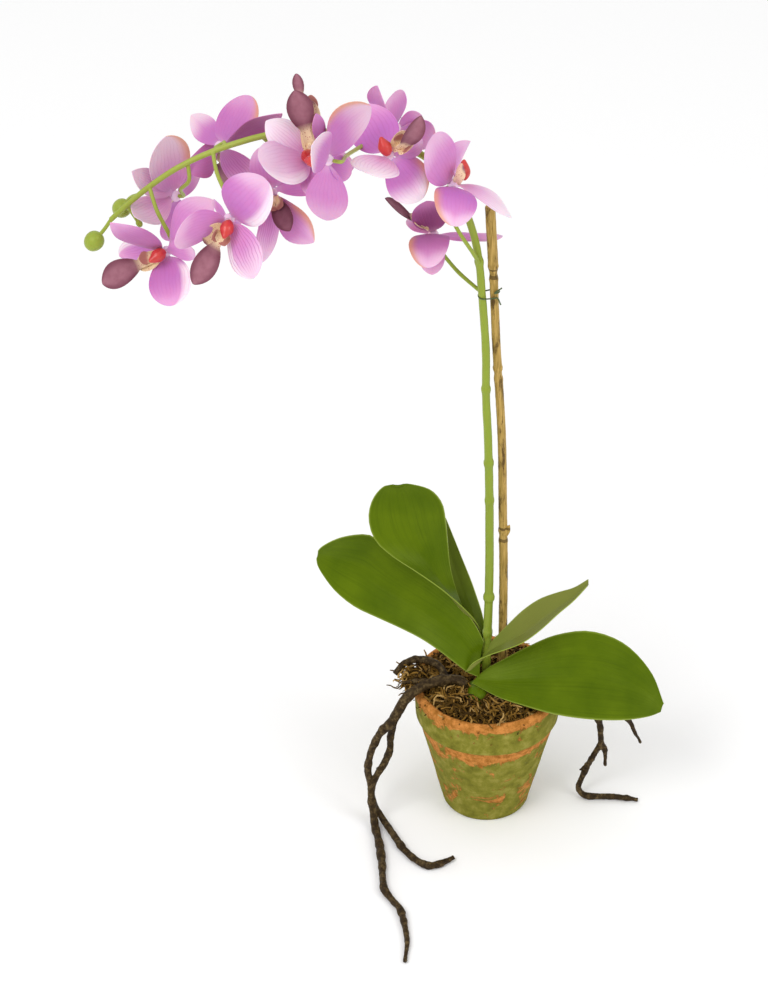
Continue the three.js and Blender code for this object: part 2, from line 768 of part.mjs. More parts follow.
// ---- Aerial roots: [x, y, z, radius] ----
const leftRoots = [
  [
    [-13, -13, 96.5, 2.4], [-17.5, -9.5, 97, 3.2], [-26, -9, 97, 3.3], [-36, -12, 96, 3.3],
    [-44.6, -17.5, 95, 3.4], [-50, -19, 89.5, 3.5], [-54.7, -21, 81, 3.5], [-58.3, -22, 74, 3.2],
    [-63.8, -22, 68, 2.7], [-68.6, -22, 57, 2.5], [-71.4, -22, 47, 2.4], [-72.3, -23, 37, 2.5],
    [-70.8, -24, 28, 2.4], [-70.1, -25.5, 18, 2.5], [-69, -29, 8, 2.5], [-68, -35, 3, 2.5],
    [-65.6, -49, 2.8, 2.6], [-63.8, -68, 2.7, 2.5], [-63.2, -85, 2.6, 2.3],
    [-62, -92.5, 2.7, 2.4], [-57, -102, 2.5, 2.2], [-53, -109, 2.5, 2.2],
    [-50.7, -120.6, 2.3, 2], [-49, -136, 2.1, 1.8], [-50.3, -154, 1.6, 1],
  ],
  [
    [-55, -20.5, 80, 2.3], [-57.3, -18, 69, 2.4], [-58.6, -18, 59, 2.3], [-59.2, -19, 50, 2.3],
    [-63.2, -20, 39, 2.5], [-67.4, -22, 32, 2.3], [-70.1, -24, 24, 2.2], [-69, -25, 13, 2.2],
    [-64, -28, 4.5, 2.3], [-57, -41.5, 2.6, 2.4], [-50, -56, 2.5, 2.3], [-42, -66, 2.5, 2.2],
    [-35, -70, 2.4, 2.1], [-27, -67, 2.3, 2], [-20.5, -62, 2.1, 1.5],
  ],
  [
    [-26, -8, 97, 2.6], [-28, -1, 99, 2.5], [-33.5, 3.6, 100.5, 2.3], [-43, 7.5, 99.5, 2.3],
    [-51, 6, 97, 2.2], [-56, 2.7, 92, 1.7],
  ],
  [
    [-32, -10, 96, 2.4], [-43, -8.7, 95.6, 1.7], [-52, -8.4, 94.5, 0.7],
  ],
  [
    [-60, -22, 72, 1.4], [-66, -22.5, 66, 0.6],
  ],
  [
    [-69, -21.8, 31, 1.3], [-65.5, -20, 34.5, 1.2], [-66.5, -19, 37, 0.6],
  ],
];

const rightRoots = [
  [
    [3, -15, 93, 2], [16, -13, 93, 2], [31.5, -9, 94, 2.1], [44, -6, 93, 2.1], [53, -5, 85, 2],
    [61, -4, 74, 2], [68, -3, 60, 2], [69.3, -3, 49.7, 2], [69.5, -3, 42.6, 2.1],
    [65.2, -3, 32.2, 1.9], [62.4, -2, 24.2, 1.9], [58.8, -2, 13.8, 1.9], [57, -2.5, 6, 2],
    [60, -4.5, 2.6, 2.1], [68.4, -6, 2.4, 2.1], [76.4, -6, 2.4, 2.1], [85.6, -7, 2.1, 1.8],
    [93.5, -8, 1.4, 0.9],
  ],
  [
    [69.4, -3, 46, 1.6], [72.4, -3, 36, 1.5], [72.8, -3, 24.3, 0.8],
  ],
  [
    [62.6, -2, 25, 1.4], [57.3, -2, 20.2, 0.7],
  ],
  [
    [48, -6, 91, 1.8], [60, -6, 84, 1.7], [72, -5, 75, 1.7], [79.5, -4, 68.5, 1.7],
    [86.9, -3, 59.2, 1.6], [89.9, -3, 51.3, 1.3], [94.1, -3, 42.6, 0.6],
  ],
];

function makeRoots(roots, grow = 0) {
  const grown = (rows) => rows.map(([x, y, z, radius]) => [x, y, z, radius + grow]);
  return fuse(roots.map((rows) => bar(grow ? extended(grown(rows), grow) : rows, 6, 1)));
}

// ---- Moss ----

// A repeatable draw of numbers from 0 to 1.
function seededDraw(seed) {
  let state = seed;
  return () => {
    state = (state * 16807) % 2147483647;
    return state / 2147483647;
  };
}

function mossHeight(distance) {
  return THREE.MathUtils.lerp(moss.crest, moss.level, (distance / innerRimRadius) ** 2);
}

const strandInset = 7; // of the middle of a strand from the pot's inner wall
const strandDive = 1.4; // depth of its two ends in the moss

// A strand that leaves the moss, arches over and dives back into it.
function mossStrand(draw) {
  const distance = (innerRimRadius - strandInset) * Math.sqrt(draw());
  const azimuth = 2 * Math.PI * draw();
  const heading = 2 * Math.PI * draw();
  const reach = 4 + 3.5 * draw();
  const lift = 1.2 + 1.6 * draw();
  const rows = [-1, -0.4, 0.4, 1].map((share, i) => {
    const x = distance * Math.cos(azimuth) + share * reach * Math.cos(heading);
    const y = distance * Math.sin(azimuth) + share * reach * Math.sin(heading);
    const z = mossHeight(Math.hypot(x, y)) + (i % 3 ? lift : -strandDive);
    return [x, y, z, moss.strandRadius];
  });
  return bar(rows, 3, 1);
}

// Strands that hang out over the left of the rim: [azimuth, height of the end].
const hangingStrands = [[172, 88], [181, 86], [189, 88], [215, 86]];

function hangingStrand([azimuth, end]) {
  const outward = v(Math.cos(radians(azimuth)), Math.sin(radians(azimuth)), 0);
  const rows = [[32, 90], [40, 92.4], [47, 92], [51, end]].map(([distance, z]) => {
    const spot = outward.clone().multiplyScalar(distance);
    return [spot.x, spot.y, z, moss.strandRadius];
  });
  return bar(rows, 3, 1);
}

function makeMoss(holes) {
  const profile = [[0, mossBottom], [boreRadius(mossBottom) - 2 * clearance, mossBottom]];
  profile.push([innerRimRadius - 2.2 * clearance, moss.level - 1.5]);
  for (const share of [0.95, 0.6, 0])
    profile.push([innerRimRadius * share, mossHeight(innerRimRadius * share)]);
  const draw = seededDraw(41);
  const strands = Array.from({ length: moss.strands }, () => mossStrand(draw));
  const hanging = hangingStrands.map(hangingStrand);
  return mainBody(fuse([turned(profile, moss.sides), ...strands, ...hanging]).subtract(fuse(holes)));
}

// ---- Crown and wire tie ----

function makeCrown(grow = 0) {
  const profile = [
    [crown.bottom - grow, 0.75],
    [crown.bottom + 4, 1],
    [crown.top - 3, 0.95],
    [crown.top + grow, 0.6],
  ];
  const rows = profile.map(([z, share]) => [...crown.at, z, crown.radius * share + grow]);
  return bar(rows, 12, 1);
}

// One and a half turns of wire round stem and stake, with both ends left out to the right.
function makeWireTie() {
  const share = (tie.height - stakeRoute[0][2]) / (stakeRoute.at(-1)[2] - stakeRoute[0][2]);
  const cane = stakeLine.getPointAt(share);
  const stem = v(-7.3, 0, tie.height);
  const turns = 14;
  const rows = [[cane.x + 4.2, cane.y - 3.6, tie.height - 6, tie.radius]];
  for (let k = 0; k < turns; k++) {
    const angle = radians(-50 - 30 * k);
    const isCane = Math.cos(angle) > 0;
    const centre = isCane ? cane : stem;
    const reach = isCane ? tie.caneReach : tie.stemReach;
    const x = centre.x + reach * Math.cos(angle);
    const y = centre.y + reach * Math.sin(angle);
    rows.push([x, y, tie.height - 2 + 0.28 * k, tie.radius]);
  }
  rows.push([cane.x + 5, cane.y - 2.4, tie.height + 4.4, tie.radius]);
  return bar(rows, 6, 1);
}

// ---- Build every node ----

const stemSolid = fuse([
  bar(stemRows(), 7, 1),
  ...buds.map(makeBud),
  ...Object.values(blooms).map(makePedicel),
]);
const holeRows = (route, radius) => route.map((p) => [...p, radius + holeMargin]);
const stemHole = bar(extended(holeRows(stemRoute.slice(0, 4), stemRadius.foot), clearance), 10, 1);
const stakeHole = bar(extended(holeRows(stakeRoute.slice(0, 3), stake.radius), clearance), 10, 1);

addNode("pot", makePot(), 0xb4683c, 0.9);
addNode("filler_plug", makeFillerPlug([stemHole, stakeHole]), 0x8d8a82, 0.95);
const mossHoles = [
  stemHole,
  stakeHole,
  makeCrown(clearance),
  makeRoots(leftRoots, clearance),
  makeRoots(rightRoots, clearance),
];
addNode("moss", makeMoss(mossHoles), 0x6b5230, 0.95);
addNode("crown", makeCrown(), 0x35551f, 0.6);
addNode("flower_stem", stemSolid, 0x86a23c, 0.45);
addNode("bamboo_stake", makeStake(), 0xb8975a, 0.6);
addNode("wire_tie", makeWireTie(), 0x3f6b3a, 0.4);
addNode("roots_left", makeRoots(leftRoots), 0x4a3826, 0.8);
addNode("roots_right", makeRoots(rightRoots), 0x4a3826, 0.8);
for (const [name, leaf] of Object.entries(leaves)) {
  addNode(`leaf_${name}`, makeLeaf(leaf), 0x4b7420, 0.4);
}
for (const [name, bloom] of Object.entries(blooms)) {
  addNode(`bloom_${name}_tepals`, makeTepals(bloom), 0xc583cf, 0.75);
  addNode(`bloom_${name}_lip`, makeLip(bloom), 0x8a5568, 0.75);
  addNode(`bloom_${name}_column`, makeColumn(bloom), 0xd03a32, 0.5);
}

export default orchid;
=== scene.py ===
import json
import math
import random

import bpy
from mathutils import Matrix, Vector, noise

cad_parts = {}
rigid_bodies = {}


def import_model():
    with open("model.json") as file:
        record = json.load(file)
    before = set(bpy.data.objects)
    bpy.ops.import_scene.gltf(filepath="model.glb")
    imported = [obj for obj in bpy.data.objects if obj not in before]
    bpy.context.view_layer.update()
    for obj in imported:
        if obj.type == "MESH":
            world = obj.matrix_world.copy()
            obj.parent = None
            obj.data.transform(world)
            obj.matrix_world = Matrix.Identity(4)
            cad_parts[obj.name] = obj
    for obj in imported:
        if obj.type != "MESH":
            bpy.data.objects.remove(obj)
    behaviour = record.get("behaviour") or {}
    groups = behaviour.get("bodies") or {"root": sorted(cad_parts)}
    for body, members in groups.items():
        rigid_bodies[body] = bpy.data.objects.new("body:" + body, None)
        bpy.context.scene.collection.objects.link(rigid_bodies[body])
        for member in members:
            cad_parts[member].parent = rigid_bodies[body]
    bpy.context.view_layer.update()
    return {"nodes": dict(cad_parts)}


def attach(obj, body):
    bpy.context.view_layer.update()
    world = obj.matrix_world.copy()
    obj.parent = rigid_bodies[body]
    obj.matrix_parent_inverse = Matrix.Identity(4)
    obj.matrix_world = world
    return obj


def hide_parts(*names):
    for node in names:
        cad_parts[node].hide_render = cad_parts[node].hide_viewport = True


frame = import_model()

# ---- Studio ----
# A white floor under soft light from all round, with one broad lamp high on the left and a weaker one on
# the right. The camera has a long lens and looks down on the pot.
scene = bpy.context.scene
scene.view_settings.view_transform = "Standard"

downward_degrees = 36.5
lens = bpy.data.cameras.new("camera")
lens.lens = 150
lens.sensor_width = 36
camera = bpy.data.objects.new("camera", lens)
camera.location = (-0.06257, -1.95508, 1.67176)
camera.rotation_euler = (math.radians(90 - downward_degrees), 0, 0)
scene.collection.objects.link(camera)
scene.camera = camera


def linear(colour):
    """An sRGB hex colour as the linear RGBA that Blender's sockets take."""
    channels = [int(colour[i : i + 2], 16) / 255 for i in (1, 3, 5)]
    return (*(c / 12.92 if c <= 0.04045 else ((c + 0.055) / 1.055) ** 2.4 for c in channels), 1)


def add(tree, kind, inputs=None, **settings):
    """Adds a node, sets its properties, and sets or links its inputs.

    A node that is given as an input is linked by its first output in use.
    """
    made = tree.nodes.new("ShaderNode" + kind if tree.type == "SHADER" else kind)
    for name, value in settings.items():
        setattr(made, name, value)
    for name, value in (inputs or {}).items():
        if isinstance(value, bpy.types.Node):
            value = next(socket for socket in value.outputs if socket.enabled)
        if isinstance(value, bpy.types.NodeSocket):
            tree.links.new(value, made.inputs[name])
        else:
            made.inputs[name].default_value = value
    return made


def new_material(name):
    """An empty material and its node tree."""
    material = bpy.data.materials.new(name)
    material.use_nodes = True
    material.node_tree.nodes.clear()
    return material, material.node_tree


def new_piece(name, vertices, faces, edges=()):
    """A mesh object in the scene, from vertices in metres."""
    mesh = bpy.data.meshes.new(name)
    mesh.from_pydata([tuple(p) for p in vertices], edges, faces)
    piece = bpy.data.objects.new(name, mesh)
    scene.collection.objects.link(piece)
    return piece


# The sweep is matt white paint, which gives a pale ground with soft shadows.
floor_radius = 4.0
floor_sides = 64
turns = [math.tau * i / floor_sides for i in range(floor_sides)]
rim = [(floor_radius * math.cos(turn), floor_radius * math.sin(turn), 0) for turn in turns]
floor = new_piece("floor", rim, [list(range(floor_sides))])
white_paint, tree = new_material("matt white paint")
add(tree, "OutputMaterial", {"Surface": add(tree, "BsdfPrincipled", {
    "Base Color": linear("#FFFFFF"), "Roughness": 0.9, "Specular IOR Level": 0.2,
})})
floor.data.materials.append(white_paint)

world = bpy.data.worlds.new("soft daylight")
scene.world = world
world.use_nodes = True
world.node_tree.nodes["Background"].inputs["Color"].default_value = linear("#FFFFFF")
world.node_tree.nodes["Background"].inputs["Strength"].default_value = 0.8


plant_middle = Vector((-0.05, 0, 0.25))


def soft_lamp(name, place, size, watts):
    """A square area lamp that looks at the middle of the plant."""
    light = bpy.data.lights.new(name, "AREA")
    light.energy = watts
    light.size = size
    lamp = bpy.data.objects.new(name, light)
    lamp.location = place
    aim = plant_middle - Vector(place)
    lamp.rotation_euler = aim.to_track_quat("-Z", "Y").to_euler()
    scene.collection.objects.link(lamp)


soft_lamp("key", (-1.1, -1.2, 2.0), 1.2, 20)
soft_lamp("fill", (1.3, -0.9, 1.5), 1.0, 8)

# ---- Pot ----
# A thrown terracotta pot with a banded rim, its outside sponged with a chalky green patina that is rubbed
# through to the clay in patches. It is one turned wall on a flat foot.
mm = 0.001
pot_height = 89
rim_radius = 45
band_height = 23
band_foot_radius = 43.3
shoulder_radius = 41.8
base_radius = 26.3
wall = 5
shoulder = pot_height - band_height
inner_rim_radius = rim_radius - wall
inner_base_radius = base_radius + (shoulder_radius - base_radius) * (wall + 1) / shoulder - wall


def round_faces(rings, sides):
    """Faces of a closed round body whose vertices are a first pole, its rings in order, and a last pole."""
    faces = []
    top = 1 + (rings - 1) * sides
    for k in range(sides):
        after = (k + 1) % sides
        faces.append((0, 1 + after, 1 + k))
        for low in range(1, top, sides):
            faces.append((low + k, low + after, low + sides + after, low + sides + k))
        faces.append((top + k, top + after, top + sides))
    return faces


def lathe(name, profile, sides):
    """A closed surface turned about Z, from [radius, height] rows in mm that start and end on the axis."""
    vertices = [(0, 0, profile[0][1] * mm)]
    for radius, height in profile[1:-1]:
        for k in range(sides):
            turn = math.tau * k / sides
            vertices.append((radius * mm * math.cos(turn), radius * mm * math.sin(turn), height * mm))
    vertices.append((0, 0, profile[-1][1] * mm))
    return new_piece(name, vertices, round_faces(len(profile) - 2, sides))


def eased_profile(corners, step):
    """Adds rows between the corners of a profile, so that the wall can be dented."""
    rows = [corners[0]]
    for (r0, z0), (r1, z1) in zip(corners, corners[1:]):
        count = max(1, round(math.hypot(r1 - r0, z1 - z0) / step))
        rows += [(r0 + (r1 - r0) * i / count, z0 + (z1 - z0) * i / count) for i in range(1, count + 1)]
    return rows


pot_corners = [
    (0, 0), (base_radius - 2.2, 0), (base_radius - 0.7, 0.35), (base_radius, 1.6),
    (shoulder_radius, shoulder), (band_foot_radius - 0.3, shoulder + 0.15),
    (band_foot_radius, shoulder + 0.9), (rim_radius - 0.1, pot_height - 2.4),
    (rim_radius - 0.5, pot_height - 0.8), (rim_radius - 1.6, pot_height),
    (inner_rim_radius + 1.6, pot_height), (inner_rim_radius + 0.4, pot_height - 0.6),
    (inner_rim_radius, pot_height - 2), (inner_base_radius, wall + 1), (0, wall + 1),
]
terracotta_pot = lathe("terracotta_pot", eased_profile(pot_corners, 2.0), 160)
hand_made_waver = 0.35  # how far the wall strays from round, in mm
for vertex in terracotta_pot.data.vertices:
    waver = noise.noise(vertex.co / (22 * mm)) + 0.35 * noise.noise(vertex.co / (5 * mm))
    outward = Vector((vertex.co.x, vertex.co.y, 0)).normalized()
    keeps_flat = min(1, vertex.co.z / (4 * mm))
    vertex.co += outward * waver * hand_made_waver * mm * keeps_flat
terracotta_pot.data.shade_smooth()
terracotta_pot.data.set_sharp_from_angle(angle=math.radians(50))


def set_stops(ramp, *stops):
    """Gives a colour ramp its colours, from (position, hex colour) rows from low to high."""
    elements = ramp.color_ramp.elements
    for element, (position, colour) in zip(elements, (stops[0], stops[-1])):
        element.position = position
        element.color = linear(colour)
    for position, colour in stops[1:-1]:
        elements.new(position).color = linear(colour)


# Unglazed clay under a chalky wash scatters all light, so it looks dry and has no highlight.
terracotta, tree = new_material("patinated terracotta")
place = add(tree, "TexCoord").outputs["Object"]
height = add(tree, "SeparateXYZ", {"Vector": place}).outputs["Z"]
per_patch = 1 / (15 * mm)  # patches of bare clay about 15 mm across
per_speck = 1 / (3.5 * mm)
per_grain = 1 / (0.6 * mm)
patches = add(tree, "TexNoise", {
    "Vector": place, "Scale": per_patch, "Detail": 12, "Roughness": 0.74, "Distortion": 0.7,
})
specks = add(tree, "TexNoise", {"Vector": place, "Scale": per_speck, "Detail": 4, "Roughness": 0.7})
grain = add(tree, "TexNoise", {"Vector": place, "Scale": per_grain, "Detail": 3})
# How bare the clay is at each height: under the band, on the upper band and on the lip it is rubbed most.
bareness = add(tree, "FloatCurve", {
    "Value": add(tree, "Math", {0: height, 1: 1 / (pot_height * mm)}, operation="MULTIPLY"),
})
curve = bareness.mapping.curves[0]
curve.points[0].location = (0, 0.42)
curve.points[1].location = (1, 0.95)
for level, amount in (
    (0.2, 0.5), (0.5, 0.47), (0.62, 0.53), (0.72, 0.66), (0.745, 0.34), (0.85, 0.46), (0.93, 0.56),
    (0.965, 0.8),
):
    curve.points.new(level, amount)
bareness.mapping.update()
bias = add(tree, "Math", {0: patches, 1: bareness}, operation="ADD")
rubbed = add(tree, "MapRange", {"Value": bias, "From Min": 1.05, "From Max": 1.085})
clay = add(tree, "Mix", {
    0: add(tree, "MapRange", {"Value": specks, "From Min": 0.36, "From Max": 0.62}), 6: linear("#9A6325"),
    7: linear("#D08A46"),
}, data_type="RGBA")
greens = add(tree, "ValToRGB", {
    "Fac": add(tree, "TexNoise", {"Vector": place, "Scale": 1 / (7 * mm), "Detail": 6, "Roughness": 0.65}),
})
set_stops(greens, (0.3, "#66641F"), (0.5, "#807D2C"), (0.7, "#9C9446"))
painted = add(tree, "Mix", {0: rubbed, 6: greens, 7: clay}, data_type="RGBA")
relief = add(tree, "Math", {0: rubbed, 1: -0.8, 2: grain}, operation="MULTIPLY_ADD")
bump = add(tree, "Bump", {"Height": relief, "Strength": 0.7, "Distance": 0.5 * mm})
add(tree, "OutputMaterial", {"Surface": add(tree, "BsdfPrincipled", {
    "Base Color": painted, "Roughness": 0.9, "Normal": bump, "Specular IOR Level": 0.1,
})})
terracotta_pot.data.materials.append(terracotta)
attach(terracotta_pot, "root")
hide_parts("pot")

# ---- Filler plug ----
# The weight that holds stem and stake: grey cast filler that fills the pot under the moss. It keeps the
# shape of its mould.
filler_plug = frame["nodes"]["filler_plug"]
# Set mineral filler is dull grey with small dark pits.
cast_filler, tree = new_material("grey cast filler")
place = add(tree, "TexCoord").outputs["Object"]
pits = add(tree, "TexNoise", {"Vector": place, "Scale": 1 / (1.5 * mm), "Detail": 5})
greys = add(tree, "Mix", {0: pits, 6: linear("#77746C"), 7: linear("#A09D95")}, data_type="RGBA")
bump = add(tree, "Bump", {"Height": pits, "Strength": 0.6, "Distance": 0.5 * mm})
add(tree, "OutputMaterial", {"Surface": add(tree, "BsdfPrincipled", {
    "Base Color": greys, "Roughness": 0.95, "Normal": bump,
})})
filler_plug.data.materials.clear()
filler_plug.data.materials.append(cast_filler)

# ---- Moss ----
# Dry curly moss packed over the filler: a low mound covered in hundreds of crinkled strands, with a tuft that
# is pushed out over the left of the rim. The strands are scattered copies of a few curls.
moss_crest = 93
moss_level = 88
moss_bottom = 78
clearance = 0.4


def moss_height(distance):
    return moss_crest + (moss_level - moss_crest) * (distance / inner_rim_radius) ** 2


def strand_mesh(name, seed):
    """A crinkled three-sided strand about 15 mm long that lies along X."""
    draw = random.Random(seed)
    steps = 11
    length = draw.uniform(10, 20)
    drift = [draw.uniform(-1, 1) for _ in range(4)]
    vertices = []
    for i in range(steps + 1):
        t = i / steps
        y = 3.0 * math.sin(math.tau * (0.9 * t + drift[0])) + 1.2 * math.sin(math.tau * (2.3 * t + drift[1]))
        z = 2.2 * math.sin(math.pi * t) + 1.2 * math.sin(math.tau * (1.5 * t + drift[2]))
        thick = 0.62 * math.sin(math.pi * (0.08 + 0.84 * t)) ** 0.5
        for k in range(3):
            turn = math.tau * (k / 3 + 0.6 * t)
            spot = Vector(((t - 0.5) * length, y + thick * math.cos(turn), z + thick * math.sin(turn)))
            vertices.append(spot * mm)
    faces = [(2, 1, 0), tuple(3 * steps + k for k in range(3))]
    for i in range(steps):
        for k in range(3):
            a, b = 3 * i + k, 3 * i + (k + 1) % 3
            faces.append((a, b, b + 3, a + 3))
    mesh = bpy.data.meshes.new(name)
    mesh.from_pydata([tuple(p) for p in vertices], [], faces)
    return mesh


strand_kinds = bpy.data.collections.new("moss strands")
for number in range(7):
    name = f"strand_{number}"
    strand_kinds.objects.link(bpy.data.objects.new(name, strand_mesh(name, number)))

bed_rows = [(0, moss_bottom), (inner_rim_radius - 3.4, moss_bottom), (inner_rim_radius - 1.6, moss_level - 2)]
bed_rows += [
    (inner_rim_radius * share * 0.97, moss_height(inner_rim_radius * share) - 1.2)
    for share in (0.95, 0.8, 0.65, 0.5, 0.35, 0.2, 0.1, 0)
]
moss_bed = lathe("moss_bed", bed_rows, 64)
# The tuft over the rim is a flat lump that sags outward and that the same strands cover.
tuft_x, tuft_z = -45, 91.5
tuft_sag = 3
tuft = lathe("tuft", [(0, -2), (5, -1.5), (7.5, 0), (5, 1.5), (0, 2)], 20)
for vertex in tuft.data.vertices:
    spot = vertex.co
    sag = tuft_sag * mm * max(0, -spot.x / (10 * mm))
    vertex.co = Vector((spot.x * 0.75 + tuft_x * mm, spot.y * 1.35, spot.z - sag + tuft_z * mm))
bpy.ops.object.select_all(action="DESELECT")
tuft.select_set(True)
moss_bed.select_set(True)
bpy.context.view_layer.objects.active = moss_bed
bpy.ops.object.join()


def socket_in(tree, name, kind, default=None):
    """Adds a named input to a node group."""
    made = tree.interface.new_socket(name=name, in_out="INPUT", socket_type=kind)
    if default is not None:
        made.default_value = default


def node_group(name):
    """An empty geometry tree with its input and output nodes."""
    tree = bpy.data.node_groups.new(name, "GeometryNodeTree")
    socket_in(tree, "Geometry", "NodeSocketGeometry")
    tree.interface.new_socket(name="Geometry", in_out="OUTPUT", socket_type="NodeSocketGeometry")
    return tree


def grow_on(piece, tree, values):
    """Runs a geometry tree on a piece with the given inputs, and leaves the piece a plain mesh."""
    modifier = piece.modifiers.new(tree.name, "NODES")
    modifier.node_group = tree
    for item in tree.interface.items_tree:
        if item.in_out == "INPUT" and item.name in values:
            modifier[item.identifier] = values[item.name]
    settle(piece)


def settle(piece):
    """Turns a piece with modifiers into the plain mesh that they make."""
    depsgraph = bpy.context.evaluated_depsgraph_get()
    mesh = bpy.data.meshes.new_from_object(
        piece.evaluated_get(depsgraph), preserve_all_data_layers=True, depsgraph=depsgraph
    )
    piece.modifiers.clear()
    piece.data = mesh


scatter = node_group("scattered strands")
socket_in(scatter, "Strands", "NodeSocketCollection")
socket_in(scatter, "Per square metre", "NodeSocketFloat", 1000.0)
socket_in(scatter, "Seed", "NodeSocketInt", 0)
socket_in(scatter, "Material", "NodeSocketMaterial")
given = add(scatter, "NodeGroupInput").outputs
points = add(scatter, "GeometryNodeDistributePointsOnFaces", {
    "Mesh": given["Geometry"], "Density": given["Per square metre"], "Seed": given["Seed"],
})
spin = add(scatter, "FunctionNodeRandomValue", {
    0: (-0.9, -0.7, -math.pi), 1: (0.9, 0.7, math.pi), "Seed": given["Seed"],
}, data_type="FLOAT_VECTOR")
sizes = add(scatter, "FunctionNodeRandomValue", {2: 0.55, 3: 1.3, "Seed": given["Seed"]})
kinds = add(scatter, "GeometryNodeCollectionInfo", {
    "Collection": given["Strands"], "Separate Children": True, "Reset Children": True,
})
copies = add(scatter, "GeometryNodeInstanceOnPoints", {
    "Points": points.outputs["Points"], "Instance": kinds, "Pick Instance": True,
    "Rotation": points.outputs["Rotation"], "Scale": sizes,
})
spun = add(scatter, "GeometryNodeRotateInstances", {"Instances": copies, "Rotation": spin})
tone = add(scatter, "FunctionNodeRandomValue", {2: 0.0, 3: 1.0})
toned = add(scatter, "GeometryNodeStoreNamedAttribute", {
    "Geometry": spun, "Name": "tone", "Value": tone,
}, domain="INSTANCE")
whole = add(scatter, "GeometryNodeJoinGeometry")
scatter.links.new(given["Geometry"], whole.inputs[0])
scatter.links.new(toned.outputs[0], whole.inputs[0])
real = add(scatter, "GeometryNodeRealizeInstances", {"Geometry": whole})
dressed = add(scatter, "GeometryNodeSetMaterial", {"Geometry": real, "Material": given["Material"]})
add(scatter, "NodeGroupOutput", {0: dressed})

# Dried moss has threads of many browns without any shine, so the bed looks deep and loose.
dry_moss, tree = new_material("dry curly moss")
place = add(tree, "TexCoord").outputs["Object"]
strand_tone = add(tree, "Attribute", attribute_name="tone").outputs["Fac"]
tones = add(tree, "ValToRGB", {"Fac": strand_tone})
set_stops(tones, (0, "#35230A"), (0.25, "#59400F"), (0.5, "#7E5C1E"), (0.8, "#A27A36"), (1, "#C9A566"))
mottle = add(tree, "TexNoise", {"Vector": place, "Scale": 1 / (1.2 * mm), "Detail": 3})
mottled = add(tree, "Mix", {
    0: 0.5, 6: tones,
    7: add(tree, "Mix", {0: mottle, 6: linear("#8A8A8A"), 7: linear("#FFFFFF")}, data_type="RGBA"),
}, data_type="RGBA", blend_type="MULTIPLY")
add(tree, "OutputMaterial", {"Surface": add(tree, "BsdfPrincipled", {
    "Base Color": mottled, "Roughness": 0.8, "Specular IOR Level": 0.15,
})})
grow_on(moss_bed, scatter, {
    "Strands": strand_kinds, "Per square metre": 220000.0, "Seed": 4, "Material": dry_moss,
})
for strand in list(strand_kinds.objects):
    bpy.data.objects.remove(strand)
bpy.data.collections.remove(strand_kinds)
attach(moss_bed, "root")
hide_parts("moss")

# ---- Flower stem ----
# One moulded green stem with eleven thin flower stalks and three buds. Its lengths were joined at thicker
# collars, and it is swept as a round bar along its route.
stem_foot_radius = 2.7
stem_tip_radius = 1.5
stem_taper = 1.6  # above 1, the stem keeps its thickness low down and thins towards its tip
pedicel_radius = 1.15
stem_route = [
    (-0.4, 0.5, 30), (-0.7, 0.2, 80), (-0.9, 0, 105), (-0.2, 0, 160), (-1.0, 0, 225), (-2.6, 0, 272),
    (-4.0, 0, 297), (-4.6, 0, 330), (-7.1, 0, 366), (-9.3, 0, 391), (-11.8, 0, 406), (-16, 0, 421),
    (-24, 0, 440), (-34.3, 0, 454.9), (-51, 0, 466.5), (-70, 0, 472), (-90, 0, 475.5), (-109.6, 0, 476.4),
    (-128.7, -1, 474), (-156, -3, 465.5), (-176, -5, 456), (-192.4, -6, 444), (-205, -7.5, 433),
    (-214, -9, 424.5),
]
stem_collars = ((0.153, 0.5), (0.195, 0.9), (0.308, 0.4), (0.351, 0.6), (0.434, 0.5), (0.5725, 0.5))
collar_reach = 0.0035  # half the length of a collar, as a share of the route


def smoothed(points, steps=10):
    """A dense line through the points, by a centripetal Catmull-Rom spline."""
    knots = [Vector(p) for p in points]
    knots = [2 * knots[0] - knots[1], *knots, 2 * knots[-1] - knots[-2]]
    line = []
    for before, start, end, after in zip(knots, knots[1:], knots[2:], knots[3:]):
        spans = ((before, start), (start, end), (end, after))
        d0, d1, d2 = (max((q - p).length, 1e-6) ** 0.5 for p, q in spans)
        leaving = ((start - before) / d0 - (end - before) / (d0 + d1) + (end - start) / d1) * d1
        arriving = ((end - start) / d1 - (after - start) / (d1 + d2) + (after - end) / d2) * d1
        for k in range(steps):
            u = k / steps
            line.append(
                start * (2 * u**3 - 3 * u**2 + 1) + leaving * (u**3 - 2 * u**2 + u)
                + end * (3 * u**2 - 2 * u**3) + arriving * (u**3 - u**2)
            )
    return [*line, knots[-2]]


def evenly(line, count):
    """Points at equal steps along a line."""
    lengths = [0]
    for p, q in zip(line, line[1:]):
        lengths.append(lengths[-1] + (q - p).length)
    spots, span = [], 0
    for k in range(count + 1):
        goal = lengths[-1] * k / count
        while span < len(line) - 2 and lengths[span + 1] < goal:
            span += 1
        part = (goal - lengths[span]) / (lengths[span + 1] - lengths[span])
        spots.append(line[span].lerp(line[span + 1], min(part, 1)))
    return spots


def route_piece(name, routes):
    """Edge chains in one mesh, from lists of (x, y, z, radius) in mm, with the radius as an attribute."""
    vertices, edges, radii = [], [], []
    for route in routes:
        first = len(vertices)
        vertices += [Vector(row[:3]) * mm for row in route]
        radii += [row[3] * mm for row in route]
        edges += [(i, i + 1) for i in range(first, len(vertices) - 1)]
    piece = new_piece(name, vertices, [], edges)
    piece.data.attributes.new("thickness", "FLOAT", "POINT").data.foreach_set("value", radii)
    return piece


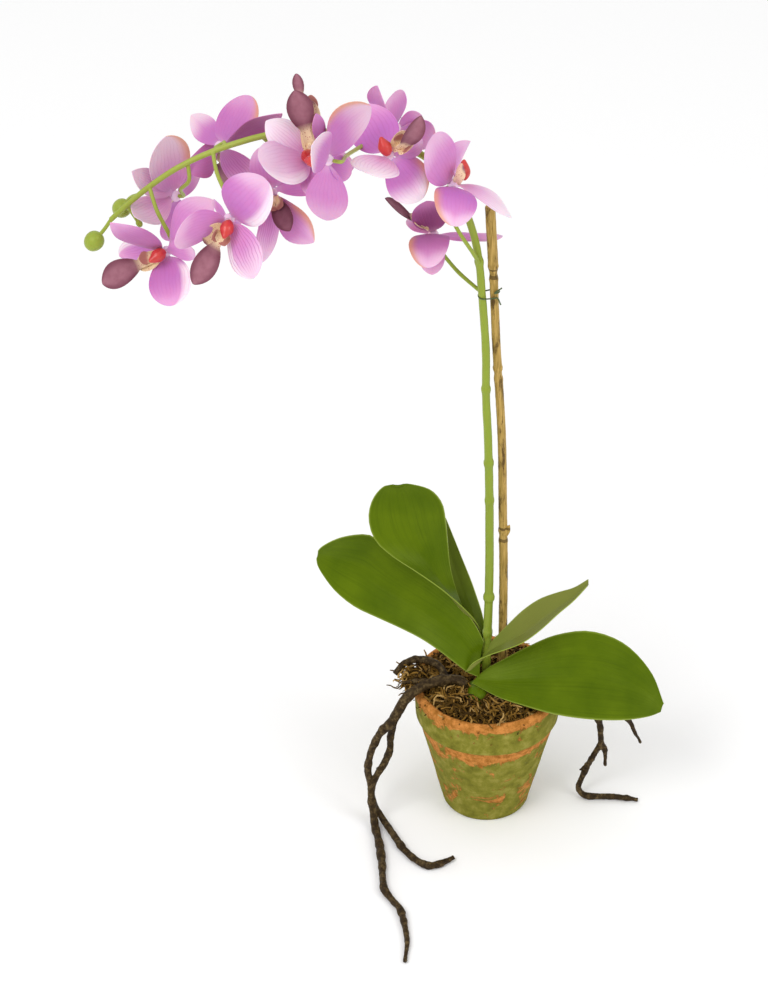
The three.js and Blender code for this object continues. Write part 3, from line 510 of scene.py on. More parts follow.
sweep = node_group("round bar along a route")
socket_in(sweep, "Sides", "NodeSocketInt", 12)
socket_in(sweep, "Lump height", "NodeSocketFloat", 0.0)
socket_in(sweep, "Lumps per metre", "NodeSocketFloat", 100.0)
socket_in(sweep, "Material", "NodeSocketMaterial")
given = add(sweep, "NodeGroupInput").outputs
line = add(sweep, "GeometryNodeMeshToCurve", {"Mesh": given["Geometry"]})
thickness = add(sweep, "GeometryNodeInputNamedAttribute", {"Name": "thickness"}, data_type="FLOAT")
sized = add(sweep, "GeometryNodeSetCurveRadius", {"Curve": line, "Radius": thickness})
section = add(sweep, "GeometryNodeCurvePrimitiveCircle", {"Resolution": given["Sides"], "Radius": 1.0})
swept_inputs = {"Curve": sized.outputs[0], "Profile Curve": section.outputs[0], "Fill Caps": True}
swept = add(sweep, "GeometryNodeCurveToMesh", swept_inputs)
if "Scale" in swept.inputs:
    radius_again = add(sweep, "GeometryNodeInputNamedAttribute", {"Name": "thickness"}, data_type="FLOAT")
    sweep.links.new(radius_again.outputs[0], swept.inputs["Scale"])
lumps = add(sweep, "ShaderNodeTexNoise", {"Scale": given["Lumps per metre"], "Detail": 2.0})
centred = add(sweep, "ShaderNodeMath", {0: lumps, 1: 0.5}, operation="SUBTRACT")
tall = add(sweep, "ShaderNodeMath", {0: centred, 1: given["Lump height"]}, operation="MULTIPLY")
outward = add(sweep, "ShaderNodeVectorMath", {
    0: add(sweep, "GeometryNodeInputNormal"), "Scale": tall,
}, operation="SCALE")
lumpy = add(sweep, "GeometryNodeSetPosition", {"Geometry": swept, "Offset": outward})
soft = add(sweep, "GeometryNodeSetShadeSmooth", {"Geometry": lumpy})
real = add(sweep, "GeometryNodeRealizeInstances", {"Geometry": soft})
dressed = add(sweep, "GeometryNodeSetMaterial", {"Geometry": real, "Material": given["Material"]})
add(sweep, "NodeGroupOutput", {0: dressed})


def merged(piece, voxel):
    """Melts overlapping bars into one skin with small fillets where they meet."""
    remesh = piece.modifiers.new("one skin", "REMESH")
    remesh.mode = "VOXEL"
    remesh.voxel_size = voxel * mm
    remesh.use_smooth_shade = True
    settle(piece)


stem_line = evenly(smoothed(stem_route), 420)
stem_rows = []
for i, spot in enumerate(stem_line):
    share = i / (len(stem_line) - 1)
    radius = stem_foot_radius + (stem_tip_radius - stem_foot_radius) * share**stem_taper
    for centre, extra in stem_collars:
        radius += extra * math.exp(-(((share - centre) / collar_reach) ** 4))
    stem_rows.append((*spot, radius))

# Each bud is an egg: where its stalk leaves the stem, a bend of the stalk, its centre, its radius and length.
buds = (
    ((-213.5, -8.9, 425), (-218, -11, 419), (-223.5, -13, 413), 5.6, 12),
    ((-198, -6.6, 439.5), (-203, -1, 434), (-208.5, 2, 425), 5.4, 11.5),
    ((-205, -7.5, 433), (-202, -6, 427), (-198.5, -5, 419.5), 1.9, 5),
)
stalk_routes = []
for start, bend, centre, radius, length in buds:
    stalk_routes.append(smoothed([(*start, 1.2), (*bend, 1.1), (*centre, 1.2)]))
    axis = (Vector(centre) - Vector(bend)).normalized()
    rows = []
    for k in range(25):
        share = -0.5 + k / 24
        swell = max(1 - (2 * share) ** 2, 0.0) ** 0.5
        egg = 1 - 0.12 * share
        rows.append((*(Vector(centre) + axis * share * length), max(radius * swell * egg, 0.25)))
    stalk_routes.append(rows)

# ---- Blooms: where each one is and how it looks ----
# at: the hub, in mm. facing: turn to the right and rise of the way it looks. roll: clockwise turn of its
# dorsal sepal. tepals: dorsal sepal, right petal, right sepal, left sepal, left petal, each as clockwise
# angle, forward tilt, length, width, twist, bow, outline and look. lip: lobes as angle, tilt, length, width,
# share of neck, twist and bow. column: angle, tilt, shift aside and size. stalk: points from the stem to the
# back of the hub.
side_lobes = ((130, 62, 11, 7, 0.3, 0, -0.06), (-130, 62, 11, 7, 0.3, 0, -0.06))
blooms = {
    "a": {
        "at": (-183, -28, 416), "facing": (-47, 19), "roll": 13,
        "tepals": (
            (8, -18, 40, 26, -4, 0.14, "leaf", "lilac"),
            (51, 12, 31, 14, 30, 0, "leaf", "lilac"),
            (124, 14, 32, 25, -30, 0.05, "round", "violet, white left"),
            (-131, 4, 36, 20, -42, -0.05, "round", "violet, white right"),
            (-48, 62, 41.5, 24, -1, 0.04, "pointed", "mauve"),
        ),
        "lip": ((-154, 33, 35, 15.5, 0.3, 0, 0.05), side_lobes[1]),
        "column": (164, 62, 2.7, 1),
        "stalk": ((-191.8, -6.5, 443.5), (-188, -15, 435), (-181, -22, 423)),
    },
    "b": {
        "at": (-147, -42, 446), "facing": (-11, -6), "roll": 29,
        "tepals": (
            (8, 3, 38, 30, -22, 0.2, "round", "lilac, white right"),
            (120, -50, 28, 14, 0, 0.05, "leaf", "lilac"),
            (106, 44, 37.5, 24, 0, 0.02, "oval", "veined, white right"),
            (-108, 52, 39.5, 22.5, 8, -0.06, "oval", "lilac"),
            (-125, -50, 20, 12, 0, 0.05, "leaf", "lilac"),
        ),
        "lip": ((184, 52, 36, 14, 0.3, 0, 0.05), *side_lobes),
        "column": (168, 70, 0, 1),
        "stalk": ((-156.6, -3, 465), (-154, -18, 461), (-149, -30, 455)),
    },
    "c": {
        "at": (-179, 10, 428), "facing": (-135, -25), "roll": 40,
        "tepals": (
            (5, -4, 35, 15, 0, 0.07, "pointed", "blush"),
            (48, -7, 33, 20, 40, 0.13, "oval", "blush"),
            (144, 36, 34, 20, 0, 0.07, "oval", "violet"),
            (-122, 22, 34.5, 15, 18, 0.05, "round", "lilac"),
            (-36, -21, 39, 28, -8, 0.03, "round", "snowy, orange left"),
        ),
        "lip": ((-165, 66, 31, 14, 0.3, 0, -0.06), *side_lobes),
        "column": (0, 75, 0, 1),
        "stalk": ((-170.5, -4, 458), (-170, -7, 449), (-175, -2, 440)),
    },
    "d": {
        "at": (-153, 8, 461.5), "facing": (162, -26), "roll": -1,
        "tepals": (
            (-14, 35, 36, 21.5, -5, 0.08, "round", "violet, orange left"),
            (64, 30, 32, 14.5, 10, 0.1, "leaf", "white tip"),
            (125, 30, 36.5, 20, 30, 0.2, "pointed", "wine"),
            (-142, 40, 34, 17, -3, 0.03, "oval", "veined"),
            (-53, 2, 40, 18, 64, 0.03, "leaf", "wine"),
        ),
        "lip": ((178, 48, 33, 14, 0.3, 0, -0.06), *side_lobes),
        "column": (180, 84, 0, 1),
        "stalk": ((-150, -1.4, 468), (-150.5, 2, 468), (-151.5, 4, 466)),
    },
    "e": {
        "at": (-102, -20, 471), "facing": (-1, 60), "roll": 168,
        "tepals": (
            (0, 5, 26, 18, 0, 0.07, "oval", "lilac"),
            (72, 34, 37, 29.5, 0, 0.03, "round", "light lilac"),
            (134, 26, 33, 18, -10, 0.08, "leaf", "blush"),
            (-125, -22, 20, 13, 0, 0.07, "oval", "lilac"),
            (-74, -15, 24, 16, 0, 0.07, "oval", "lilac"),
        ),
        "lip": (
            (173, 38, 34, 14.5, 0.35, 0, 0.05), (181, 6, 46, 6.5, 0.72, 0, -0.03),
            (-168, 28, 30, 8, 0.6, 0, -0.06),
        ),
        "column": (84, 70, 0.8, 1),
        "stalk": ((-108.6, -1, 476), (-106, -8, 473), (-103, -13, 469)),
    },
    "m": {
        "at": (-93, -50, 489), "facing": (-114, -4), "roll": -149,
        "tepals": (
            (-27, 8, 41, 23, 75, -0.03, "oval", "lilac"),
            (82, -16, 40.5, 26.5, -12, 0.18, "oval", "white tip, orange right"),
            (133, 20, 26, 15, 0, 0.07, "oval", "wine"),
            (-164, -6, 35, 23, -7, -0.02, "oval", "white tip"),
            (8, -26, 20, 14, 0, 0.05, "oval", "violet"),
        ),
        "lip": ((120, 14, 16, 6, 0.3, 0, -0.06),),
        "column": (0, 75, 0, 1),
        "stalk": ((-72, -1, 470), (-75, -9, 472.3), (-83, -33, 481)),
    },
    "f": {
        "at": (-124, -12, 445), "facing": (1, 18), "roll": -19,
        "tepals": (
            (15, 28, 34, 22, 0, 0.05, "round", "lilac"),
            (86, -6, 33, 20, 0, 0.07, "oval", "lilac"),
            (157, 25, 37.5, 24, 34, 0.15, "leaf", "mauve, orange left"),
            (-152, 4, 40.5, 19, -48, 0.06, "oval", "veined"),
            (-74, -30, 30, 18, 0, 0.07, "oval", "lilac"),
        ),
        "lip": ((166, 53, 26, 11, 0.08, 0, 0), *side_lobes),
        "column": (-90, 40, 0, 1),
        "stalk": ((-129.6, 0, 473), (-118, 6, 455), (-121, 2, 447)),
    },
    "g": {
        "at": (-60, -18, 472), "facing": (36, 50), "roll": -103,
        "tepals": (
            (-3, 31, 33.5, 27, 30, 0, "round", "blush"),
            (107, -12, 34, 27, -26, -0.1, "round", "violet"),
            (131, -40, 20, 12, 0, 0.07, "oval", "lilac"),
            (-170, 5, 23, 14, 0, 0.07, "oval", "lilac"),
            (-99, -18, 31.5, 26, 15, 0.05, "round", "white tip, orange left"),
        ),
        "lip": ((151, 74, 31, 11, 0.3, 19, 0.15), *side_lobes),
        "column": (86, 32, 0, 1),
        "stalk": ((-51, -0.5, 466.4), (-55, -5, 461.5), (-60, -11, 462.5)),
    },
    "h": {
        "at": (-56, 26, 463), "facing": (145, 3), "roll": -5,
        "tepals": (
            (7, -21, 37.5, 18, -21, -0.1, "leaf", "violet"),
            (83, 50, 28, 22, 29, 0.05, "round", "lilac"),
            (133, 12, 35, 20, 0, 0.07, "oval", "lilac"),
            (-130, 36, 28, 24, -20, 0.15, "pointed", "lilac"),
            (-60, 45, 16, 10, 0, 0.07, "oval", "lilac"),
        ),
        "lip": ((158, 45, 31, 13, 0.3, 0, -0.06), (-130, 62, 11, 7, 0.3, 0, -0.06)),
        "column": (180, 78, -0.6, 0.3),
        "stalk": ((-59.3, 1, 469), (-58, 10, 468), (-57, 17, 465)),
    },
    "i": {
        "at": (-24, -12, 450), "facing": (70, 44), "roll": 129,
        "tepals": (
            (-156, 14, 27, 11, 0, -0.05, "oval", "dusk"),
            (38, 11, 38, 18, -14, 0.12, "pointed", "blush"),
            (123, 10, 37, 24, 31, 0.2, "round", "violet, orange right"),
            (-148, 27, 37, 28, -25, 0.03, "round", "lilac"),
            (-47, -2, 40, 17, 38, -0.12, "pointed", "lilac"),
        ),
        "lip": ((-172, 66, 9, 6, 0.3, 0, -0.06),),
        "column": (-90, 28, 0, 1),
        "stalk": ((-9, -1.5, 391), (-13, -8, 402), (-24, -12, 425)),
    },
    "j": {
        "at": (-35, 10, 403), "facing": (-128, 83), "roll": -41,
        "tepals": (
            (-4, -10, 39.5, 13.5, -4, 0, "oval", "lilac"),
            (98, 0, 40, 22.5, -2, 0.2, "round", "mauve, orange right"),
            (98, -30, 26, 14, 0, 0.07, "oval", "lilac"),
            (-133, 12, 20, 11, 0, 0.07, "oval", "lilac"),
            (103, 72, 27, 20, 16, 0.05, "round", "wine"),
        ),
        "lip": ((183, 44, 30, 11, 0.3, 0, -0.06),),
        "column": (-80, 50, -2, 1),
        "stalk": ((-9.5, 1, 371.5), (-21, 5, 381), (-31, 6, 394)),
    },
}
hub_back = 3.2
hub_front = 1.6


def bloom_axes(bloom):
    """A bloom's directions: up to its dorsal sepal, to its right seen from in front, and front."""
    turn, rise = (math.radians(angle) for angle in bloom["facing"])
    roll = math.radians(bloom["roll"])
    front = Vector((math.sin(turn) * math.cos(rise), -math.cos(turn) * math.cos(rise), math.sin(rise)))
    upright = (Vector((0, 0, 1)) - front * front.z).normalized()
    up = upright * math.cos(roll) + upright.cross(front) * math.sin(roll)
    return up, up.cross(front), front


for bloom in blooms.values():
    front = bloom_axes(bloom)[2]
    end = Vector(bloom["at"]) - front * (hub_back + clearance)
    stations = [*(Vector(p) for p in bloom["stalk"]), end - front * 4, end]
    stalk_routes.append(smoothed([(*p, pedicel_radius) for p in stations]))

# Smooth plastic shows a soft bright line along the stem, and light glows a little through its skin.
green_plastic, tree = new_material("moulded green plastic")
place = add(tree, "TexCoord").outputs["Object"]
height = add(tree, "SeparateXYZ", {"Vector": place}).outputs["Z"]
lift = add(tree, "MapRange", {"Value": height, "From Min": 85 * mm, "From Max": 470 * mm})
by_height = add(tree, "ValToRGB", {"Fac": lift})
set_stops(by_height, (0, "#667216"), (0.1, "#849631"), (0.45, "#8EA138"), (0.8, "#95A63E"), (1, "#A9B655"))
streaks = add(tree, "TexNoise", {
    "Vector": add(tree, "Mapping", {"Vector": place, "Scale": (1, 1, 0.12)}), "Scale": 1 / (1.6 * mm),
    "Detail": 3,
})
streaked = add(tree, "Mix", {
    0: 0.3, 6: by_height,
    7: add(tree, "Mix", {0: streaks, 6: linear("#A8A078"), 7: linear("#FFFFFF")}, data_type="RGBA"),
}, data_type="RGBA", blend_type="MULTIPLY")
bump = add(tree, "Bump", {"Height": streaks, "Strength": 0.15, "Distance": 0.3 * mm})
add(tree, "OutputMaterial", {"Surface": add(tree, "BsdfPrincipled", {
    "Base Color": streaked, "Roughness": 0.26, "Normal": bump, "Subsurface Weight": 0.1,
    "Subsurface Scale": 1.5 * mm, "Specular IOR Level": 0.35, "Specular Tint": linear("#E2E2A8"),
})})
moulded_stem = route_piece("moulded_stem", [stem_rows, *stalk_routes])
grow_on(moulded_stem, sweep, {
    "Sides": 20, "Lump height": 0.4 * mm, "Lumps per metre": 110.0, "Material": green_plastic,
})
merged(moulded_stem, 0.35)
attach(moulded_stem, "root")
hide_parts("flower_stem")

# ---- Bamboo stake ----
# A thin dry cane that holds the stem up, swollen at its joints, with a rough stub of a branch at the lowest
# one and a sawn top.
stake_route = (
    (10.4, 9, 30), (9.2, 7.7, 90), (8.5, 6.8, 134), (6.8, 4.5, 244), (-0.9, 1.8, 369), (-3.6, 0.6, 427),
)
stake_steps = 300
stake_line = evenly(smoothed(stake_route, 40), stake_steps)
stake_radius = 2.7
top_length_extra = 0.5  # the length above the last joint is thicker
stake_joints = (0.425, 0.722, 0.897)
# At a joint the cane swells, narrows just under it and swells again: how far below, how much and over what.
joint_rings = ((0, 0.5, 0.0035), (0.01, -0.25, 0.004), (0.02, 0.3, 0.0035))
rows = []
for k, spot in enumerate(stake_line):
    share = k / stake_steps
    radius = stake_radius * (1 - 0.1 * share) + (top_length_extra if share > stake_joints[2] else 0)
    for joint in stake_joints:
        for below, extra, reach in joint_rings:
            radius += extra * math.exp(-(((share - joint + below) / reach) ** 2))
    sway = 0.35 * math.sin(9 * share) + 0.2 * math.sin(23 * share)
    rows.append((spot.x + sway, spot.y, spot.z, radius))
knob = stake_line[round(stake_steps * stake_joints[0])]
stub = [(*(knob + Vector(offset)), radius) for offset, radius in (
    ((1.6, -1.0, -4), 0.9), ((2.5, -1.5, -1), 1.2), ((2.9, -1.7, 1.5), 1.1), ((3.3, -1.6, 4), 0.5),
)]
scar = [(*(knob + Vector(offset)), radius) for offset, radius in (
    ((-1.2, -1.8, -2.5), 0.8), ((-0.6, -2.4, 0.5), 1.0), ((0.6, -2.2, 3), 0.5),
)]
# Dry cane is satin straw yellow, with lengthwise fibres, dark stains and dirty rings.
dry_bamboo, tree = new_material("dry bamboo cane")
place = add(tree, "TexCoord").outputs["Object"]
lengthwise = add(tree, "Mapping", {"Vector": place, "Scale": (1, 1, 0.05)})
fibres = add(tree, "TexNoise", {"Vector": lengthwise, "Scale": 1 / (0.7 * mm), "Detail": 5})
stains = add(tree, "TexNoise", {
    "Vector": add(tree, "Mapping", {"Vector": place, "Scale": (1, 1, 0.25)}), "Scale": 1 / (5 * mm),
    "Detail": 6, "Roughness": 0.7,
})
straw = add(tree, "ValToRGB", {"Fac": fibres})
set_stops(straw, (0.3, "#8C722E"), (0.7, "#C9A65C"))
stain_mask = add(tree, "MapRange", {"Value": stains, "From Min": 0.52, "From Max": 0.62})
stained = add(tree, "Mix", {0: stain_mask, 6: straw, 7: linear("#5A4319")}, data_type="RGBA")
height = add(tree, "SeparateXYZ", {"Vector": place}).outputs["Z"]
# Frayed dark rings at two of the joints: the height of each and half its depth, in mm.
dark_rings = ((192, 1.2), (201, 0.8), (380.5, 1.3), (385.6, 0.6))
fray = 3
frayed = add(tree, "Math", {0: stains, 1: fray * mm, 2: height}, operation="MULTIPLY_ADD")
for ring, depth in dark_rings:
    on_ring = add(tree, "Math", {0: frayed, 1: (ring + fray / 2) * mm, 2: depth * mm}, operation="COMPARE")
    stained = add(tree, "Mix", {
        0: add(tree, "Math", {0: on_ring, 1: 0.75}, operation="MULTIPLY"), 6: stained, 7: linear("#4A3614"),
    }, data_type="RGBA")
bump = add(tree, "Bump", {"Height": fibres, "Strength": 0.5, "Distance": 0.25 * mm})
add(tree, "OutputMaterial", {"Surface": add(tree, "BsdfPrincipled", {
    "Base Color": stained, "Roughness": 0.5, "Normal": bump, "Specular IOR Level": 0.2,
})})
bamboo_cane = route_piece("bamboo_cane", [rows, smoothed(stub), smoothed(scar)])
grow_on(bamboo_cane, sweep, {
    "Sides": 24, "Lump height": 0.35 * mm, "Lumps per metre": 250.0, "Material": dry_bamboo,
})
merged(bamboo_cane, 0.35)
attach(bamboo_cane, "root")
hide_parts("bamboo_stake")

# ---- Wire tie ----
# Green coated wire that ties the stem to the stake: a little over one turn round both, with its two ends
# twisted off to the right.
wire_radius = 0.42
tie_height = 369
cane_at = min(stake_line, key=lambda spot: abs(spot.z - tie_height))
stem_at = Vector((-6.6, 0, tie_height))
cane_reach = 3.4
stem_reach = 2.8
first_turn, turn_step, turn_steps = -50, -30, 14  # in degrees
rise_per_step = 0.28
rows = [(cane_at.x + 4.2, cane_at.y - 3.6, tie_height - 6, wire_radius)]
for k in range(turn_steps):
    turn = math.radians(first_turn + turn_step * k)
    centre, reach = (cane_at, cane_reach) if math.cos(turn) > 0 else (stem_at, stem_reach)
    rows.append((
        centre.x + reach * math.cos(turn), centre.y + reach * math.sin(turn),
        tie_height - 2 + rise_per_step * k, wire_radius,
    ))
rows.append((cane_at.x + 4.8, cane_at.y - 2, tie_height + 4.4, wire_radius))
# Lacquered wire is dark green, with lighter scuffs where it was bent.
coated_wire, tree = new_material("green coated wire")
place = add(tree, "TexCoord").outputs["Object"]
scuffs = add(tree, "TexNoise", {"Vector": place, "Scale": 1 / (1.0 * mm), "Detail": 3})
coating = add(tree, "Mix", {0: scuffs, 6: linear("#2C3D1C"), 7: linear("#50672F")}, data_type="RGBA")
add(tree, "OutputMaterial", {"Surface": add(tree, "BsdfPrincipled", {
    "Base Color": coating, "Roughness": 0.4,
})})
tie_wire = route_piece("tie_wire", [smoothed(rows, 6)])
grow_on(tie_wire, sweep, {
    "Sides": 10, "Lump height": 0.05 * mm, "Lumps per metre": 600.0, "Material": coated_wire,
})
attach(tie_wire, "root")
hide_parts("wire_tie")

# ---- Aerial roots ----
# Knobbly dark brown roots that leave the crown, cross the moss and trail over the rim down to the ground.
# Each group is swept along given routes and melted into one piece. Rows are x, y, z and radius.
left_roots = (
    (
        (-13, -13, 96.5, 2.4), (-17.5, -9.5, 97, 3.2), (-26, -9, 97, 3.3), (-36, -12, 96, 3.3),
        (-44.6, -17.5, 95, 3.4), (-50, -19, 89.5, 3.5), (-54.7, -21, 81, 3.5), (-58.3, -22, 74, 3.2),
        (-63.8, -22, 68, 2.7), (-68.6, -22, 57, 2.5), (-71.4, -22, 47, 2.4), (-72.3, -23, 37, 2.5),
        (-70.8, -24, 28, 2.4), (-70.1, -25.5, 18, 2.5), (-69, -29, 8, 2.5), (-68, -35, 3, 2.5),
        (-65.6, -49, 2.8, 2.6), (-63.8, -68, 2.7, 2.5), (-63.2, -85, 2.6, 2.3), (-62, -92.5, 2.7, 2.4),
        (-57, -102, 2.5, 2.2), (-53, -109, 2.5, 2.2), (-50.7, -120.6, 2.3, 2), (-49, -136, 2.1, 1.8),
        (-50.3, -154, 1.6, 1),
    ),
    (
        (-55, -20.5, 80, 2.3), (-57.3, -18, 69, 2.4), (-58.6, -18, 59, 2.3), (-59.2, -19, 50, 2.3),
        (-63.2, -20, 39, 2.5), (-67.4, -22, 32, 2.3), (-70.1, -24, 24, 2.2), (-69, -25, 13, 2.2),
        (-64, -28, 4.5, 2.3), (-57, -41.5, 2.6, 2.4), (-50, -56, 2.5, 2.3), (-42, -66, 2.5, 2.2),
        (-35, -70, 2.4, 2.1), (-27, -67, 2.3, 2), (-20.5, -62, 2.1, 1.5),
    ),
    (
        (-26, -8, 97, 2.6), (-28, -1, 99, 2.5), (-33.5, 3.6, 100.5, 2.3), (-43, 7.5, 99.5, 2.3),
        (-51, 6, 97, 2.2), (-56, 2.7, 92, 1.7),
    ),
    ((-32, -10, 96, 2.4), (-43, -8.7, 95.6, 1.7), (-52, -8.4, 94.5, 0.7)),
    ((-60, -22, 72, 1.4), (-66, -22.5, 66, 0.6)),
    ((-69, -21.8, 31, 1.3), (-65.5, -20, 34.5, 1.2), (-66.5, -19, 37, 0.6)),
)
right_roots = (
    (
        (3, -15, 93, 2), (16, -13, 93, 2), (31.5, -9, 94, 2.1), (44, -6, 93, 2.1), (53, -5, 85, 2),
        (61, -4, 74, 2), (68, -3, 60, 2), (69.3, -3, 49.7, 2), (69.5, -3, 42.6, 2.1), (65.2, -3, 32.2, 1.9),
        (62.4, -2, 24.2, 1.9), (58.8, -2, 13.8, 1.9), (57, -2.5, 6, 2), (60, -4.5, 2.6, 2.1),
        (68.4, -6, 2.4, 2.1), (76.4, -6, 2.4, 2.1), (85.6, -7, 2.1, 1.8), (93.5, -8, 1.4, 0.9),
    ),
    ((69.4, -3, 46, 1.6), (72.4, -3, 36, 1.5), (72.8, -3, 24.3, 0.8)),
    ((62.6, -2, 25, 1.4), (57.3, -2, 20.2, 0.7)),
    (
        (48, -6, 91, 1.8), (60, -6, 84, 1.7), (72, -5, 75, 1.7), (79.5, -4, 68.5, 1.7),
        (86.9, -3, 59.2, 1.6), (89.9, -3, 51.3, 1.3), (94.1, -3, 42.6, 0.6),
    ),
)
# Corky skin is dark and rough, so only the ridges of the roots catch the light.
root_bark, tree = new_material("rough root bark")
place = add(tree, "TexCoord").outputs["Object"]
scales = add(tree, "TexNoise", {"Vector": place, "Scale": 1 / (3 * mm), "Detail": 7, "Roughness": 0.72})
bark = add(tree, "ValToRGB", {"Fac": scales})
set_stops(bark, (0.32, "#1C1206"), (0.5, "#382912"), (0.72, "#75623F"))
bump = add(tree, "Bump", {"Height": scales, "Strength": 1.0, "Distance": 0.8 * mm})
add(tree, "OutputMaterial", {"Surface": add(tree, "BsdfPrincipled", {
    "Base Color": bark, "Roughness": 0.55, "Normal": bump, "Specular IOR Level": 0.15,
})})
root_slimness = 0.9
knob_height, knob_reach, tallest_knob = 0.4, 0.22, 0.6
for name, node, routes, seed in (
    ("trailing_roots_left", "roots_left", left_roots, 3),
    ("trailing_roots_right", "roots_right", right_roots, 8),
):
    draw = random.Random(seed)
    knobbly = []
    for route in routes:
        line = evenly(smoothed(route), max(8, len(route) * 10))
        nodes_at = [draw.random() for _ in range(len(route))]
        rows = []
        for k, spot in enumerate(line):
            share = k / (len(line) - 1)
            away = [(share - at) * len(route) / knob_reach for at in nodes_at]
            bulge = sum(knob_height * math.exp(-(distance**2)) for distance in away)
            rows.append((*spot[:3], spot[3] * root_slimness + min(bulge, tallest_knob)))
        knobbly.append(rows)
    roots = route_piece(name, knobbly)
    grow_on(roots, sweep, {
        "Sides": 16, "Lump height": 1.1 * mm, "Lumps per metre": 360.0, "Material": root_bark,
    })
    merged(roots, 0.45)
    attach(roots, "root")
    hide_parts(node)

# ---- Crown ----
# The short green heart of the plant, which the leaves grow from. It is deeper than wide, with shallow pleats.
crown_at = Vector((-6, -13.5, 0))
crown_deepening = 1.4
pleats, pleat_depth, pleat_slant = 5, 0.05, 90
crown_rows = [(0, 86), (5.4, 86.2), (6.6, 88), (7, 90), (6.9, 92.5), (6, 94.6), (4.4, 96), (0, 96.4)]
leaf_heart = lathe("leaf_heart", crown_rows, 40)
for vertex in leaf_heart.data.vertices:
    turn = math.atan2(vertex.co.y, vertex.co.x)
    fold = 1 + pleat_depth * math.sin(pleats * turn + pleat_slant * vertex.co.z)
    pleated = Vector((vertex.co.x * fold, vertex.co.y * fold * crown_deepening, vertex.co.z))
    vertex.co = pleated + crown_at * mm
leaf_heart.data.shade_smooth()

# ---- Leaves ----
# Five strap leaves of moulded green plastic with a waxy skin, folded along the middle, with fine veins that
# run from base to tip. Each is one blade bent along its spine, with its edges raised into a shallow gutter.
leaf_thickness = 1.1
crease_depth, crease_reach = 0.4, 1.6  # the groove along the middle
ripple_height = 0.35  # the waves along the edges
# rows: a point on the right edge and one on the left, as seen by someone who walks to the tip. fold: how far
# the middle hangs below the two edges, as a share of half the width.
leaves = {
    "front_right": {
        "rows": (
            ((-10, -12.6, 97.6), (-6.5, -9.5, 99.6)), ((-2, -18.6, 96.6), (0, -7.1, 104.7)),
            ((7, -24.5, 95.4), (10, -5.1, 110.4)), ((21.7, -30.8, 94.3), (24, -1.6, 116.9)),
            ((39.5, -36.6, 92.8), (40, 1.8, 122.6)), ((60, -39.6, 91.6), (61, 3.2, 124.6)),
            ((81, -37.5, 89.2), (82, -0.5, 117.7)), ((95.5, -32.4, 87.6), (98, -11.6, 104.3)),
            ((103, -26.5, 86.2), (105, -23, 90)),
        ),
        "fold": 0.16,
    },
    "back_right": {
        "rows": (
            ((-14, -12.5, 106), (-9, -11.5, 109)), ((-10, -12.5, 112.3), (-2, -8.5, 117)),
            ((-1, -14.5, 119.5), (1.5, -5, 123)), ((9.4, -17.5, 126.5), (10.5, 1, 130)),
            ((19.4, -18.6, 132.9), (20, 7, 136.5)),
            ((30, -15.5, 140.4), (30.7, 9.8, 143.8)), ((40.8, -8.1, 146.5), (41.3, 10.1, 148.9)),
            ((50.5, 0.2, 149.8), (51, 11.8, 151.3)), ((58.4, 9, 154), (59.5, 14, 155.6)),
        ),
        "fold": 0.35,
    },
    "back_left": {
        "rows": (
            ((-4.1, 5, 104.8), (-5.4, 3, 107.2)), ((-4.9, 6, 120.2), (-4.4, 2, 123.3)),
            ((-9.2, 7, 128.5), (-8.2, 0, 135.6)), ((-15.9, 8, 139.2), (-16.1, -1, 147)),
            ((-20.2, 9.5, 152.4), (-29.3, -1, 160.5)), ((-23.3, 11, 168.5), (-44.2, 2, 170.9)),
            ((-24.6, 13, 183.4), (-57.8, 6, 179)), ((-25.9, 15, 197.4), (-67.9, 10, 187.9)),
            ((-28.3, 18, 209.2), (-71.7, 14, 201.1)), ((-34.9, 21, 216.5), (-69.1, 18, 212.1)),
            ((-46.1, 23, 219.1), (-62.6, 21, 219.1)), ((-51.4, 23.5, 219.1), (-57.3, 23, 219.1)),
        ),
        "fold": 0.2,
    },
    "back_middle": {
        "rows": (
            ((-3.5, 1.5, 101), (-8, 1, 101)), ((-2.6, 8, 127), (-16, 13, 130)),
            ((-8, 17, 143.7), (-25, 24, 147)), ((-14, 28, 155.2), (-29.5, 34, 158.5)),
            ((-20, 40.5, 164.7), (-31.5, 43.5, 166.5)), ((-25.5, 50.5, 174), (-29.5, 49.5, 174)),
        ),
        "fold": 0.25,
    },
    "front_left": {
        "rows": (
            ((-2.7, -4, 122), (-5.5, -9, 99.1)), ((-7.6, -1, 131.8), (-12.8, -12, 105.4)),
            ((-15.4, 3, 142.3), (-20.1, -11, 111.5)), ((-26.2, 9, 150.5), (-30.3, -9, 119.9)),
            ((-36.3, 14, 155.7), (-41.1, -7, 127.4)), ((-48.3, 18, 163.1), (-54.2, -4, 133.4)),
            ((-60.2, 21, 172.1), (-67.3, -1, 138.6)), ((-70.3, 22.5, 181.8), (-79.9, 3, 143.1)),
            ((-82.8, 21.5, 182.5), (-91.2, 8, 150.5)), ((-92.3, 19, 181.1), (-98.3, 12, 158.7)),
            ((-99.4, 17, 177.7), (-102.2, 14, 166.2)), ((-101.8, 16.5, 174.8), (-102.7, 15.5, 169.6)),
        ),
        "fold": 0.24,
    },
}


